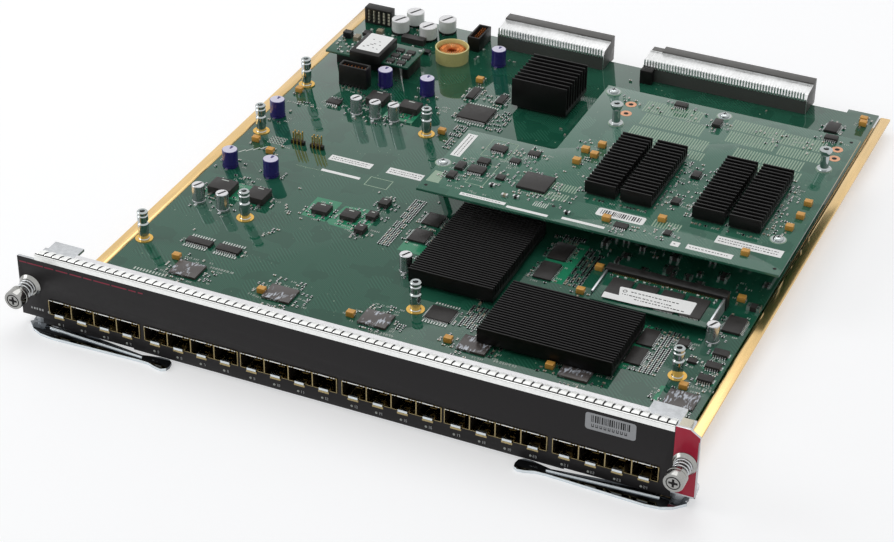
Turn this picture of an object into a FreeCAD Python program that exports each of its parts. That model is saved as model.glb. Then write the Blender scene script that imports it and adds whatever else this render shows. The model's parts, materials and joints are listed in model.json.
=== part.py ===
import FreeCAD, Part
import math
import os

# Switch line card with 24 pluggable-transceiver ports.
# Millimetres. X runs along the panel (left end negative), Y runs back from the panel's front
# face, Z is up from the plane the card rests on.

# ---------------------------------------------------------------- panel and carrier
PANEL_WIDTH = 391.6          # ear tip to ear tip
PANEL_BOTTOM = 2.2           # lower edge of the panel above the resting plane
PANEL_FACE_HEIGHT = 41.6     # bare dark face, lower edge to the gasket lip
EAR_RISE = 4.2               # the ends' lower edge is set up by this much
END_WIDTH = 13.0             # width of each set-up end
SHEET = 1.5                  # panel and tray sheet
BEND_RADIUS = 0.8            # inside radius of every fold
OVERLAY_THICKNESS = 0.4      # printed skin on the panel
OVERLAY_SETBACK = 0.8        # bare metal left along the lower edge over the levers
BARE_EDGE_LENGTH = 57.0
FLANGE_LAND = 1.5            # metal above the skin that the gasket lip covers
TOP_FLANGE_DEPTH = 11.5
BOTTOM_FLANGE_DEPTH = 17.5
LUG_DEPTH = 12.0             # lever lugs, folded back from the ears
RED_END_RISE = 2.1           # top of the right end above the top flange
CHAMFER_WIDTH = 5.7
CHAMFER_HEIGHT = 3.8
LEFT_EAR_WIDTH = 11.2        # bare left end beside the gasket
FLANGE_TAB_WIDTH = 18.0      # the top flange is deeper at its two ends
FLANGE_TAB_DEPTH = 19.0

TRAY_BOTTOM = 0.7
RAIL_TOP = 10.7
RAIL_FLANGE_WIDTH = 7.3      # slide flange, wall included
EAR_OVERHANG = 12.0          # the panel reaches this far past each slide flange
TRAY_SHORTFALL = 3.5         # the tray ends this far in front of the connectors' mating face
TRAY_BASE_FRONT = 13.0       # the floor starts here, behind the levers
LEVER_RELIEF_HEIGHT = 4.5    # the walls are cut away this high over the levers

# ---------------------------------------------------------------- ejector levers
LEVER_THICKNESS = 1.8
LEVER_PIVOT_INSET = 10.3     # from the panel's end
LEVER_PIVOT_Y = 5.0
LEVER_PIVOT_RADIUS = 2.5
LEVER_EYE_RADIUS = 6.0
RIVET_HEAD_RADIUS = 3.75
RIVET_HEAD_HEIGHT = 0.75
SHOULDER_RADIUS = 4.0
LEVER_LENGTH = 84.7          # pivot to finger tip
LEVER_REACH = 14.0           # pivot to the front edge
RIB_WIDTH = 1.2
RIB_HEIGHT = 1.2
RUNNING_CLEARANCE = 0.05
FACE_CLEARANCE = 0.1

# ---------------------------------------------------------------- captive thumbscrews
SCREW_INSET = 6.8            # from the panel's end
SCREW_Z = 26.5
HEAD_RADIUS = 5.6
HEAD_LENGTH = 6.8
SHANK_RADIUS = 2.4
THREAD_RADIUS = 1.9
THREAD_LENGTH = 6.0
COLLAR_RADIUS = 6.8
COLLAR_NECK_RADIUS = 5.4
COLLAR_HEIGHT = 2.4
SLEEVE_RADIUS = 4.0
SLEEVE_LENGTH = 3.0
SLEEVE_SIDES = 12
COLLAR_SIDES = 18
HEAD_SIDES = 18
SHANK_SIDES = 10
EYE_SIDES = 14
PIVOT_SIDES = 8
RECESS_WIDTH = 1.2
RECESS_SPAN = 5.6
RECESS_DEPTH = 2.0
SPRING_LENGTH = 7.6
SPRING_WIRE = 1.0
SPRING_TURNS = 3.5
SPRING_STEPS = 9             # flats in one turn
SPRING_SMALL_RADIUS = 3.6
SPRING_LARGE_RADIUS = 4.8
WASHER_RADIUS = 4.9
WASHER_THICKNESS = 0.8

# ---------------------------------------------------------------- ports
PORTS_PER_CAGE = 4
CAGE_COUNT = 6
PORT_PITCH = 14.25
WIDE_GAP = 17.2              # last port of one cage to the first of the next
NARROW_GAP = 15.9
FIRST_PORT_X = -170.9
CAGE_WALL = 0.3
CAGE_HEIGHT = 9.2
CAGE_DEPTH = 44.0
CAGE_NOSE = 0.5              # how far the cages stand out of the panel
WINDOW_CLEARANCE = 0.2
LATCH_TAB_WIDTH = 6.2
LATCH_TAB_REACH = 1.5
LATCH_TAB_DROP = 0.9
PORT_CONNECTOR = (11.2, 9.0, 5.8)
PORT_CONNECTOR_SETBACK = 1.0

# ---------------------------------------------------------------- gasket
FINGER_PITCH = 4.83
GASKET_SHEET = 0.35
GASKET_DEPTH = 8.4
GASKET_ROOT = 1.8            # the fingers part from the strip here
GASKET_CROWN = 1.9           # rise of the fingers over the flange at their root
FINGER_SLOT_FRONT = 0.3      # slot width at the root
FINGER_SLOT_BACK = 1.5       # slot width at the tip

# ---------------------------------------------------------------- boards
BOARD_THICKNESS = 2.4
BOARD_TOP = 10.8
BOARD_SIDE_GAP = 0.4
BOARD_FRONT = 3.0
BOARD_SHORTFALL = 6.5        # the board ends this far in front of the connectors' mating face
BOARD_CORNER_TAB = (20.0, 4.6)
DAUGHTER_CLEARANCE = 20.6    # between the two boards
POST_HEIGHT = 18.5           # free posts
POST_SIDES = 8
CAP_SIDES = 10
CAP_BEVEL = 0.7
POST_RADIUS = 3.2
POST_WAIST_RADIUS = 2.4
POST_WAIST_BEVEL = 1.0
STANDOFF_RADIUS = 3.0
DAUGHTER_THICKNESS = 1.6
DAUGHTER_POST_HEIGHT = 13.8

# ---------------------------------------------------------------- heat sinks and packages
PACKAGE_HEIGHT = 2.2
SINK_BASE = 2.6
SINK_FIN = 0.9
LARGE_SINK_HEIGHT = 9.2
LARGE_SINK_PITCH = 2.25
SMALL_SINK_HEIGHT = 7.6
SMALL_SINK_PITCH = 3.7
TALL_SINK_HEIGHT = 19.0
TALL_SINK_PITCH = 4.4

# ---------------------------------------------------------------- small pieces
PURPLE_CAP = (5.2, 11.5)     # radius and height
SILVER_CAP = (4.1, 12.0)
FILTER_CAP = (6.4, 9.6)
TANTALUM = (4.6, 3.8, 3.2)   # width, depth and height
PHY_CHIP = (17, 14, 1.6)
PIN_HEADER = (9, 2.6, 2.5)
CHOKE_RADIUS = 11.2
CHOKE_HEIGHT = 9.6
CHOKE_FLOOR = 1.5
CHOKE_SIDES = 20
WINDING_BORE = 3.0
REAR_HEADER_SIZE = (8.5, 20, 10)
FRONT_HEADER_SIZE = (19.5, 7.5, 14.2)
SHROUD_WALL = 1.2
SHROUD_FLOOR = 2.5
COMB_SIZE = (19, 7, 11.5)
COMB_SLOTS = 5
COMB_SLOT_FIRST = 2.4
COMB_SLOT_PITCH = 3.6
COMB_SLOT_WIDTH = 2.0
COMB_WALL = 1.5

# ---------------------------------------------------------------- raised boards
POWER_BOARD_X = (-171.0, -112.5)
POWER_BOARD_Y = (324.0, 352.0)
POWER_BOARD_TOP = BOARD_TOP + 10.7
POWER_BOARD_THICKNESS = 1.5
BRICK_HEIGHT = 6.0
MEMORY_X = (88.5, 156.2)
MEMORY_Y = (130.0, 161.0)
MEMORY_Z = BOARD_TOP + 6.0
MODULE_THICKNESS = 1.0
MODULE_MARGIN = 4.0
MEMORY_CHIPS = 4
MEMORY_CHIP = (12.4, 20, 1.1)
SOCKET_GRIP = 1.5

# ---------------------------------------------------------------- backplane connectors
CONNECTOR_BACK = 414.5       # mating face
CONNECTOR_DEPTH = 22.0
CONNECTOR_HEIGHT = 15.8
RIDGE_DEPTH = 7.5            # raised back of each receptacle
SMALL_CONNECTOR = (-79.0, -4.2)
LARGE_CONNECTOR = (23.3, 133.0)
KEY_WIDTH = 8.0
SHIELD_THICKNESS = 0.6

board_bottom = BOARD_TOP - BOARD_THICKNESS
panel_back = OVERLAY_THICKNESS + SHEET
face_top = PANEL_BOTTOM + PANEL_FACE_HEIGHT
flange_top = face_top + FLANGE_LAND
ear_bottom = PANEL_BOTTOM + EAR_RISE
half_panel = PANEL_WIDTH / 2
screw_x = half_panel - SCREW_INSET
lever_pivot_x = half_panel - LEVER_PIVOT_INSET
gasket_left = -half_panel + LEFT_EAR_WIDTH
finger_count = int((half_panel - END_WIDTH - FACE_CLEARANCE - gasket_left) / FINGER_PITCH)
rail_half_span = half_panel - EAR_OVERHANG
rail_wall_inner = rail_half_span - RAIL_FLANGE_WIDTH
half_board = rail_wall_inner - BOARD_SIDE_GAP
tray_floor = TRAY_BOTTOM + SHEET
spring_front = -COLLAR_HEIGHT - SPRING_LENGTH
tray_back = CONNECTOR_BACK - TRAY_SHORTFALL
board_back = CONNECTOR_BACK - BOARD_SHORTFALL
connector_front = CONNECTOR_BACK - CONNECTOR_DEPTH
head_back = spring_front - WASHER_THICKNESS - FACE_CLEARANCE / 2
origin_y = (CONNECTOR_BACK + head_back - HEAD_LENGTH) / 2
daughter_bottom = BOARD_TOP + DAUGHTER_CLEARANCE
daughter_top = daughter_bottom + DAUGHTER_THICKNESS

# ---------------------------------------------------------------- where the pieces stand
# X and Y of each centre; the pieces of the rear corner keep their distance from the board's back edge.
FREE_POSTS = [(-170, 294.5), (-168, 228.5), (-170.5, 89), (-128.5, 133.5), (-73.5, 268.5), (2, 88.5),
              (154.5, 90)]
DAUGHTER_LINK_X = (60, 150)
DAUGHTER_LINK_DEPTH = 9
DAUGHTER_LINKS_Y = [300, 280]
DAUGHTER_SCREWS = [(-34.5, 206.5), (171, 209), (98.5, 331), (26, 331)]
DAUGHTER_POSTS = [(41.2, 294.5), (172, 295.5)]
PURPLE_CAPS = [(-123.7, 315), (-94.6, 316), (-68.8, board_back - 36), (-168, 250.5), (-165.1, 183),
               (-137.5, 183.5)]
SILVER_CAPS = [(-124, 273), (-111, 273), (-98.8, 274.5), (-161.8, 138), (-144.5, 135.5), (-19, 121),
               (161, 128)]
FILTER_CAPS = [(-146.5, board_back - 21), (-142, board_back - 6.7), (-125.7, board_back - 22),
               (-118.1, board_back - 7.5)]
CHOKE = (-99.3, board_back - 42.4)
REAR_HEADER = (-91.3, board_back - 16)
FRONT_HEADER = (-141.7, 307.3)
REAR_COMB = (-174.0, board_back - 19)        # its front left corner
PIN_HEADERS = [(-140, 224), (-127, 224)]
TANTALUMS = [(-169.7, 284), (-165.1, 216.3), (-150.5, 207), (-143, 78.5), (-83, 68), (-27.7, 68), (31, 68),
             (90.2, 68.5), (79.6, 169.7), (78.5, 143), (163, 173.5), (161.1, 81), (-65.3, 274), (-70.5,
                                                                                                 345.5),
             (169, board_back - 6.7), (170, board_back - 12)]
DAUGHTER_TANTALUMS = [(37, 240), (37, 254.5), (44, 251), (44, 264), (76, 187), (105, 200), (173.5, 222),
                      (175.5, 236.5), (175.5, 252), (159, 186)]
PHY_CHIP_FIRST = (-131, 69.5)
PHY_CHIP_PITCH = 59.0

# X, Y, width, depth and height of each package.
BOARD_CHIPS = [(-55, 304, 20, 18, 2.0), (-139, 98, 16, 5.5, 1.8), (-120, 98, 14.5, 6, 1.8),
               (17, 89.5, 15, 13, 1.2),
               (167.5, 147.5, 10.5, 16, 1.6), (128.5, 116.5, 9, 16, 1.2), (128.5, 97.5, 9, 16, 1.2),
               (-27, 158, 11, 13, 1.2), (-27, 177.5, 11, 13, 1.2), (53.5, 155, 11, 18, 1.2), (53.5, 177, 11,
                                                                                              18, 1.2),
               (-67.4, 328, 5, 14, 1.6), (-47.8, 328, 5, 11, 1.6), (157.5, 105.5, 5, 4, 1.6), (-143, 280, 9,
                                                                                               6, 1.6),
               (148, 119, 6, 6, 2.2), (169.5, 118, 8.5, 5.5, 2.4), (169.5, 105, 8.5, 5.5, 2.4),
               (169.5, 92, 8.5, 5.5, 2.4), (154, board_back - 24.5, 8, 12, 1.8)]
REGULATORS = [(-155, 155.5, 15, 12, 4.5), (-131.5, 155.5, 12, 13, 4.5), (-118.5, 293, 12, 12, 4.5),
              (-95, 291.5, 13, 10, 4.5), (-91, 159, 10, 9, 3), (-73, 160, 10, 9, 3), (-61, 149, 6, 7, 3),
              (-61, 165, 6, 7, 3), (-60.5, 181, 6, 7, 3)]
DAUGHTER_CHIPS = [(24.5, 207, 18, 18, 1.8), (-10, 234, 9, 7, 1.8), (11, 237.5, 7, 5, 1.6),
                  (4, 225, 6, 5, 1.6),
                  (3.5, 204, 5, 5, 1.6), (-23, 206, 5, 8, 2.0), (-23.5, 194.5, 5, 7, 2.0), (-12.5, 206, 10,
                                                                                            8, 1.8),
                  (-12.5, 216.5, 7, 6, 2.0), (70.5, 331, 8, 5, 2.2), (98, 319, 5, 8, 2.4), (166, 331, 8, 5,
                                                                                            2.4),
                  (106.5, 255, 5, 7, 2.2), (105.5, 222, 5, 6, 2.0), (112.5, 188, 4, 5, 1.4), (86, 184, 8, 5,
                                                                                              1.4)]

# Centre, then width and depth, of each finned heat sink and of the package under it.
SINK_SEAT = BOARD_TOP + PACKAGE_HEIGHT
FRONT_LEFT_SINK = ((13.5, 148.5), (51.5, 78.0))
FRONT_RIGHT_SINK = ((85.0, 97.0), (78.0, 51.5))
TALL_SINK = ((-20.5, 340.5), (37.0, 36.5))
LARGE_PACKAGE = (40, 40)
TALL_PACKAGE = (31, 31)
DAUGHTER_SINKS = [(63.5, 240), (85.5, 240), (129, 240), (151, 240)]
DAUGHTER_SINK_SIZE = (19.0, 63.0)
DAUGHTER_PACKAGE = (17, 60)
DAUGHTER_PACKAGE_HEIGHT = 1.6


def vector(u, v, plane):
    """A point of a flat outline: plane names the two axes that u and v run along."""
    return {"XY": FreeCAD.Vector(u, v, 0), "XZ": FreeCAD.Vector(u, 0, v),
            "YZ": FreeCAD.Vector(0, u, v)}[plane]


def outline(points, plane="XY", radii=None):
    """A closed face through points, with each corner rounded by its radius."""
    radii = radii or [0] * len(points)
    corners = [vector(u, v, plane) for u, v in points]
    ends = []
    for i, corner in enumerate(corners):
        if not radii[i]:
            ends.append((corner, None, corner))
            continue
        back = (corners[i - 1] - corner).normalize()
        ahead = (corners[(i + 1) % len(corners)] - corner).normalize()
        half_angle = back.getAngle(ahead) / 2
        tangent = radii[i] / math.tan(half_angle)
        middle = (back + ahead).normalize() * (radii[i] / math.sin(half_angle) - radii[i])
        ends.append((corner + back * tangent, corner + middle, corner + ahead * tangent))
    edges = []
    for i, (start, middle, end) in enumerate(ends):
        if middle:
            edges.append(Part.Arc(start, middle, end).toShape())
        following = ends[(i + 1) % len(ends)][0]
        if end.distanceToPoint(following) > 1e-6:
            edges.append(Part.makeLine(end, following))
    return Part.Face(Part.Wire(edges))


def prism(points, plane, start, length, radii=None):
    """An outline pushed out along the axis that its plane leaves free."""
    along = {"XY": FreeCAD.Vector(0, 0, 1), "XZ": FreeCAD.Vector(0, 1, 0),
             "YZ": FreeCAD.Vector(1, 0, 0)}[plane]
    face = outline(points, plane, radii)
    face.translate(along * start)
    return face.extrude(along * length)


def block(x, y, z):
    """A box from (low, high) pairs."""
    return Part.makeBox(x[1] - x[0], y[1] - y[0], z[1] - z[0], FreeCAD.Vector(x[0], y[0], z[0]))


def centred_block(x, y, z, size):
    """A box standing on z, centred on x and y."""
    return Part.makeBox(size[0], size[1], size[2], FreeCAD.Vector(x - size[0] / 2, y - size[1] / 2, z))


def cylinder(x, y, z, radius, height):
    return Part.makeCylinder(radius, height, FreeCAD.Vector(x, y, z))


def polyhedron(rings, split=False):
    """A solid through rings of equally many corners; split halves each side face where it would be warped."""
    faces = [Part.Face(Part.makePolygon(ring + ring[:1])) for ring in (rings[0], rings[-1])]
    for low, high in zip(rings, rings[1:]):
        for k in range(len(low)):
            ahead = (k + 1) % len(low)
            side = [low[k], low[ahead], high[ahead], high[k]]
            for corners in ((side[:3], side[2:] + side[:1]) if split else (side,)):
                faces.append(Part.Face(Part.makePolygon(corners + corners[:1])))
    return Part.makeSolid(Part.makeShell(faces))


def faceted(profile, sides, x=0, y=0, z=0):
    """Like a turned piece, but with flat sides, through rising (radius, height) rings."""
    turns = [2 * math.pi * k / sides for k in range(sides)]
    return polyhedron([[FreeCAD.Vector(x + radius * math.cos(turn), y + radius * math.sin(turn), z + height)
                        for turn in turns] for radius, height in profile])


def round_a_turning(radius, sides):
    """Corner radius of a flat-sided hole whose sides clear a piece of this radius as it turns."""
    return radius / math.cos(math.pi / sides)


def facing_front(solid, x, z):
    """Tip a piece built along Z over, so that its Z axis points to the front, and move it to x, z."""
    solid = solid.copy()
    solid.rotate(FreeCAD.Vector(0, 0, 0), FreeCAD.Vector(1, 0, 0), 90)
    solid.translate(FreeCAD.Vector(x, 0, z))
    return solid


def folded(path, thickness, radius, plane, start, length):
    """A folded strip: path is the middle of the sheet, and each bend has the given inside radius."""
    points = [vector(u, v, "XY") for u, v in path]
    left, right, left_radii, right_radii = [], [], [], []
    for i, point in enumerate(points):
        before = (point - points[i - 1]).normalize() if i else None
        after = (points[i + 1] - point).normalize() if i + 1 < len(points) else None
        first = before or after
        second = after or before
        turn = first.x * second.y - first.y * second.x
        normal = FreeCAD.Vector(-first.y - second.y, first.x + second.x, 0).normalize()
        miter = normal * (thickness / 2 / normal.dot(FreeCAD.Vector(-first.y, first.x, 0)))
        left.append(point + miter)
        right.append(point - miter)
        bend = before is not None and after is not None and radius
        left_radii.append((radius if turn > 0 else radius + thickness) if bend else 0)
        right_radii.append((radius + thickness if turn > 0 else radius) if bend else 0)
    ring = [(p.x, p.y) for p in left + right[::-1]]
    return prism(ring, plane, start, length, left_radii + right_radii[::-1])


def join(shapes):
    """One solid from pieces that touch."""
    return shapes[0].multiFuse(shapes[1:]).removeSplitter()


def save(node, shapes):
    """Write one node, a solid or a group of separate solids, with the origin under the card's middle."""
    shape = shapes.copy() if isinstance(shapes, Part.Shape) else Part.makeCompound(shapes)
    shape.translate(FreeCAD.Vector(0, -origin_y, 0))
    shape.exportStep(f"parts/{node}.step")


def mirrored(shape):
    """The same piece at the other end of the card."""
    return shape.mirror(FreeCAD.Vector(0, 0, 0), FreeCAD.Vector(1, 0, 0))


# ================================================================ carrier and panel
def port_positions():
    """X of each port, one list for each cage."""
    cages = []
    x = FIRST_PORT_X
    for cage in range(CAGE_COUNT):
        cages.append([x + PORT_PITCH * port for port in range(PORTS_PER_CAGE)])
        x = cages[-1][-1] + (WIDE_GAP if cage % 2 == 0 else NARROW_GAP)
    return cages


def cage_span(ports):
    """Outer faces of the cage round these ports."""
    half = PORT_PITCH / 2 + CAGE_WALL / 2
    return ports[0] - half, ports[-1] + half


def carrier_tray():
    wall = rail_wall_inner + SHEET / 2
    low = TRAY_BOTTOM + SHEET / 2
    high = RAIL_TOP - SHEET / 2
    path = [(-rail_half_span, high), (-wall, high), (-wall, low), (wall, low), (wall, high),
            (rail_half_span, high)]
    tray = folded(path, SHEET, BEND_RADIUS, "XZ", panel_back, tray_back - panel_back)
    relief = block((-rail_half_span, rail_half_span), (0, TRAY_BASE_FRONT), (0, LEVER_RELIEF_HEIGHT))
    return tray.cut(relief)


def port_windows():
    """Openings that the cages stand in, cut through the panel and its skins."""
    windows = []
    for ports in port_positions():
        left, right = cage_span(ports)
        windows.append(block((left - WINDOW_CLEARANCE, right + WINDOW_CLEARANCE), (-1, panel_back + 1),
                             (BOARD_TOP - WINDOW_CLEARANCE, BOARD_TOP + CAGE_HEIGHT + WINDOW_CLEARANCE)))
    return Part.makeCompound(windows)


def red_end_outline():
    left = half_panel - END_WIDTH
    top = flange_top + RED_END_RISE
    return [(left, ear_bottom), (half_panel, ear_bottom), (half_panel, top - CHAMFER_HEIGHT),
            (half_panel - CHAMFER_WIDTH, top), (left, top)]


def faceplate():
    """Folded panel: face, top and bottom flanges, set-up ears with lever lugs, raised right end."""
    middle = OVERLAY_THICKNESS + SHEET / 2
    notch = half_panel - END_WIDTH
    path = [(OVERLAY_THICKNESS + BOTTOM_FLANGE_DEPTH, PANEL_BOTTOM + SHEET / 2),
            (middle, PANEL_BOTTOM + SHEET / 2),
            (middle, flange_top - SHEET / 2), (OVERLAY_THICKNESS + TOP_FLANGE_DEPTH, flange_top - SHEET / 2)]
    channel = folded(path, SHEET, BEND_RADIUS, "YZ", -notch, 2 * notch)
    wall_relief = block((rail_wall_inner - SHEET, half_panel), (panel_back, 2 * BOTTOM_FLANGE_DEPTH),
                        (0, ear_bottom))
    channel = channel.cut(wall_relief).cut(mirrored(wall_relief))
    right_ear = prism(red_end_outline(), "XZ", OVERLAY_THICKNESS, SHEET)
    left_ear = block((-half_panel, -notch), (OVERLAY_THICKNESS, panel_back), (ear_bottom, face_top))
    lug = prism([(notch, OVERLAY_THICKNESS), (half_panel, OVERLAY_THICKNESS), (half_panel - 1, LUG_DEPTH),
                 (notch, LUG_DEPTH)],
                "XY", ear_bottom, SHEET, [0, 0, 4, 2])
    flange = (flange_top - SHEET, flange_top)
    left_flange = block((-half_panel + LEFT_EAR_WIDTH, -notch), (OVERLAY_THICKNESS, TOP_FLANGE_DEPTH), flange)
    right_flange = block((notch, half_panel - CHAMFER_WIDTH), (OVERLAY_THICKNESS, TOP_FLANGE_DEPTH), flange)
    tab = block((notch - FLANGE_TAB_WIDTH, notch), (TOP_FLANGE_DEPTH, FLANGE_TAB_DEPTH), flange)
    panel = join([channel, right_ear, left_ear, lug, mirrored(lug), left_flange, right_flange, tab,
                  mirrored(tab)])
    return panel.cut(port_windows()).cut(screw_holes())


def screw_holes():
    """Holes for the serrated sleeves of the two collars."""
    sleeve = faceted([(SLEEVE_RADIUS, -2 * SLEEVE_LENGTH), (SLEEVE_RADIUS, 2 * SLEEVE_LENGTH)], SLEEVE_SIDES)
    return Part.makeCompound([facing_front(sleeve, x, SCREW_Z) for x in (-screw_x, screw_x)])


def panel_overlay():
    """Dark skin: stops at the gasket lip and at the red end, and leaves a bare edge over each lever."""
    notch = half_panel - END_WIDTH
    low = PANEL_BOTTOM + OVERLAY_SETBACK
    bare_end = notch - BARE_EDGE_LENGTH
    edge = [(notch, ear_bottom), (notch, low), (bare_end, low), (bare_end, PANEL_BOTTOM)]
    points = edge + [(-x, z) for x, z in edge[::-1]] + [(-half_panel, ear_bottom), (-half_panel, face_top),
                                                        (notch, face_top)]
    return prism(points, "XZ", 0, OVERLAY_THICKNESS).cut(port_windows()).cut(screw_holes())


def end_overlay():
    return prism(red_end_outline(), "XZ", 0, OVERLAY_THICKNESS).cut(screw_holes())


def gasket_strip():
    """Contact strip: a lip over the panel's top front edge, then bowed fingers that land on the flange."""
    lip_y = OVERLAY_THICKNESS - GASKET_SHEET / 2
    landing = flange_top + GASKET_SHEET / 2
    path = [(lip_y, face_top + FACE_CLEARANCE), (lip_y, flange_top + GASKET_CROWN - 0.4),
            (GASKET_ROOT, flange_top + GASKET_CROWN), (GASKET_DEPTH, landing)]
    strip = folded(path, GASKET_SHEET, 0, "YZ", gasket_left, finger_count * FINGER_PITCH)
    slots = []
    for finger in range(1, finger_count):
        x = gasket_left + finger * FINGER_PITCH
        slots.append(prism([(x - FINGER_SLOT_FRONT / 2, GASKET_ROOT),
                            (x + FINGER_SLOT_FRONT / 2, GASKET_ROOT),
                            (x + FINGER_SLOT_BACK / 2, GASKET_DEPTH + 1), (x - FINGER_SLOT_BACK / 2,
                                                                           GASKET_DEPTH + 1)],
                           "XY", flange_top - 1, 5))
    return strip.cut(Part.makeCompound(slots))


def corner_pad():
    left, right = half_panel - END_WIDTH + 0.8, half_panel - CHAMFER_WIDTH - 0.6
    return block((left, right), (panel_back, 9), (flange_top, flange_top + 2.0))


# ================================================================ levers and screws
def ejector_lever():
    """Right-hand lever: eye round the rivet, claw behind it, long blade with a rib, rounded finger pad."""
    x, y = lever_pivot_x, LEVER_PIVOT_Y
    tip = x - LEVER_LENGTH
    front = y - LEVER_REACH
    blade = [(x + 6.5, y - 4.5), (x + 1, y - 10), (x - 5, y - 12.8), (x - 13, front + 0.3),
             (tip + 18, front + 2.2),
             (tip + 12, front + 1.9), (tip + 7, front + 0.2), (tip + 3, front - 0.4), (tip + 0.6,
                                                                                       front + 1.2),
             (tip, front + 4), (tip + 0.6, front + 7.4), (tip + 3, front + 9.4), (tip + 8, front + 9.4),
             (x - 66, y - 7), (x - 30, y - 2.5), (x, y + 2)]
    blade = prism(blade, "XY", 0, LEVER_THICKNESS)
    eye = faceted([(LEVER_EYE_RADIUS, 0), (LEVER_EYE_RADIUS, LEVER_THICKNESS)], EYE_SIDES, x, y)
    claw = prism([(x + 2, y), (x + 7.4, y + 2.5), (x + 6.4, y + 7.2), (x + 2.6, y + 8.2), (x - 1, y + 5)],
                 "XY", 0,
                 LEVER_THICKNESS)
    near, far = (x - 7.5, y - 6.1), (x - 67.5, y - 9.4)
    rib = prism([(far[0], far[1] - RIB_WIDTH / 2), (near[0], near[1] - RIB_WIDTH / 2),
                 (near[0], near[1] + RIB_WIDTH / 2),
                 (far[0], far[1] + RIB_WIDTH / 2)], "XY", LEVER_THICKNESS, RIB_HEIGHT)
    lever = join([blade, eye, claw, rib])
    pocket_radius = round_a_turning(RIVET_HEAD_RADIUS + FACE_CLEARANCE, EYE_SIDES)
    bore = cylinder(x, y, -1, LEVER_PIVOT_RADIUS + RUNNING_CLEARANCE, LEVER_THICKNESS + 2)
    pocket = faceted([(pocket_radius, -1), (pocket_radius, RIVET_HEAD_HEIGHT + FACE_CLEARANCE)], EYE_SIDES,
                     x, y)
    return lever.cut(bore).cut(pocket)


def lever_pivot():
    """Shouldered rivet that hangs from the ear's lug; its head sits in the lever's pocket."""
    x, y = lever_pivot_x, LEVER_PIVOT_Y
    shoulder = LEVER_THICKNESS + FACE_CLEARANCE
    head_foot = FACE_CLEARANCE / 2
    head = faceted([(RIVET_HEAD_RADIUS, 0), (RIVET_HEAD_RADIUS, RIVET_HEAD_HEIGHT - head_foot)], PIVOT_SIDES,
                   x, y,
                   head_foot)
    pin = cylinder(x, y, RIVET_HEAD_HEIGHT, LEVER_PIVOT_RADIUS, shoulder - RIVET_HEAD_HEIGHT)
    collar = faceted([(SHOULDER_RADIUS, 0), (SHOULDER_RADIUS, ear_bottom - shoulder)], PIVOT_SIDES, x, y,
                     shoulder)
    return join([head, pin, collar])


def shank_bore():
    """A hole along Z that the screw's shank turns in."""
    radius = round_a_turning(SHANK_RADIUS + RUNNING_CLEARANCE, SLEEVE_SIDES)
    return faceted([(radius, -2 * SLEEVE_LENGTH), (radius, 2 * SPRING_LENGTH)], SLEEVE_SIDES)


def screw_collar(x):
    """Ring pressed in the ear: a tapered skirt on the face and a serrated sleeve through the panel."""
    skirt = faceted([(COLLAR_RADIUS, 0), (COLLAR_RADIUS, 0.5), (COLLAR_NECK_RADIUS, COLLAR_HEIGHT)],
                    COLLAR_SIDES)
    sleeve = faceted([(SLEEVE_RADIUS, -SLEEVE_LENGTH), (SLEEVE_RADIUS, 0)], SLEEVE_SIDES)
    return facing_front(join([skirt, sleeve]).cut(shank_bore()), x, SCREW_Z)


def captive_screw(x):
    """Thumbscrew with a cross recess, pushed out by its spring."""
    seat = -head_back
    head = faceted([(HEAD_RADIUS, seat), (HEAD_RADIUS, seat + HEAD_LENGTH - 0.7),
                    (HEAD_RADIUS - 0.7, seat + HEAD_LENGTH)],
                   HEAD_SIDES)
    thread_start = -SLEEVE_LENGTH - 0.5
    shank = faceted([(SHANK_RADIUS, thread_start), (SHANK_RADIUS, seat)], SHANK_SIDES)
    thread = cylinder(0, 0, thread_start - THREAD_LENGTH, THREAD_RADIUS, THREAD_LENGTH)
    screw = join([head, shank, thread])
    for width, height in ((RECESS_WIDTH, RECESS_SPAN), (RECESS_SPAN, RECESS_WIDTH)):
        screw = screw.cut(centred_block(0, 0, seat + HEAD_LENGTH - RECESS_DEPTH,
                                        (width, height, HEAD_LENGTH)))
    return facing_front(screw, x, SCREW_Z)


def screw_washer(x):
    disc = faceted([(WASHER_RADIUS, -spring_front), (WASHER_RADIUS, -spring_front + WASHER_THICKNESS)],
                   HEAD_SIDES)
    return facing_front(disc.cut(shank_bore()), x, SCREW_Z)


def screw_spring(x):
    """Conical spring: a square wire wound from the collar out to the washer, wide end first."""
    steps = int(SPRING_TURNS * SPRING_STEPS)
    half = SPRING_WIRE / 2
    rings = []
    for step in range(steps + 1):
        along = step / steps
        turn = 2 * math.pi * SPRING_TURNS * along
        radius = SPRING_LARGE_RADIUS + (SPRING_SMALL_RADIUS - SPRING_LARGE_RADIUS) * along
        height = COLLAR_HEIGHT + half + (SPRING_LENGTH - SPRING_WIRE) * along
        rings.append([FreeCAD.Vector((radius + out * half) * math.cos(turn),
                                     (radius + out * half) * math.sin(turn),
                                     height + up * half) for out, up in ((-1, -1), (1, -1), (1, 1), (-1, 1))])
    return facing_front(polyhedron(rings, split=True), x, SCREW_Z)


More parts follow.
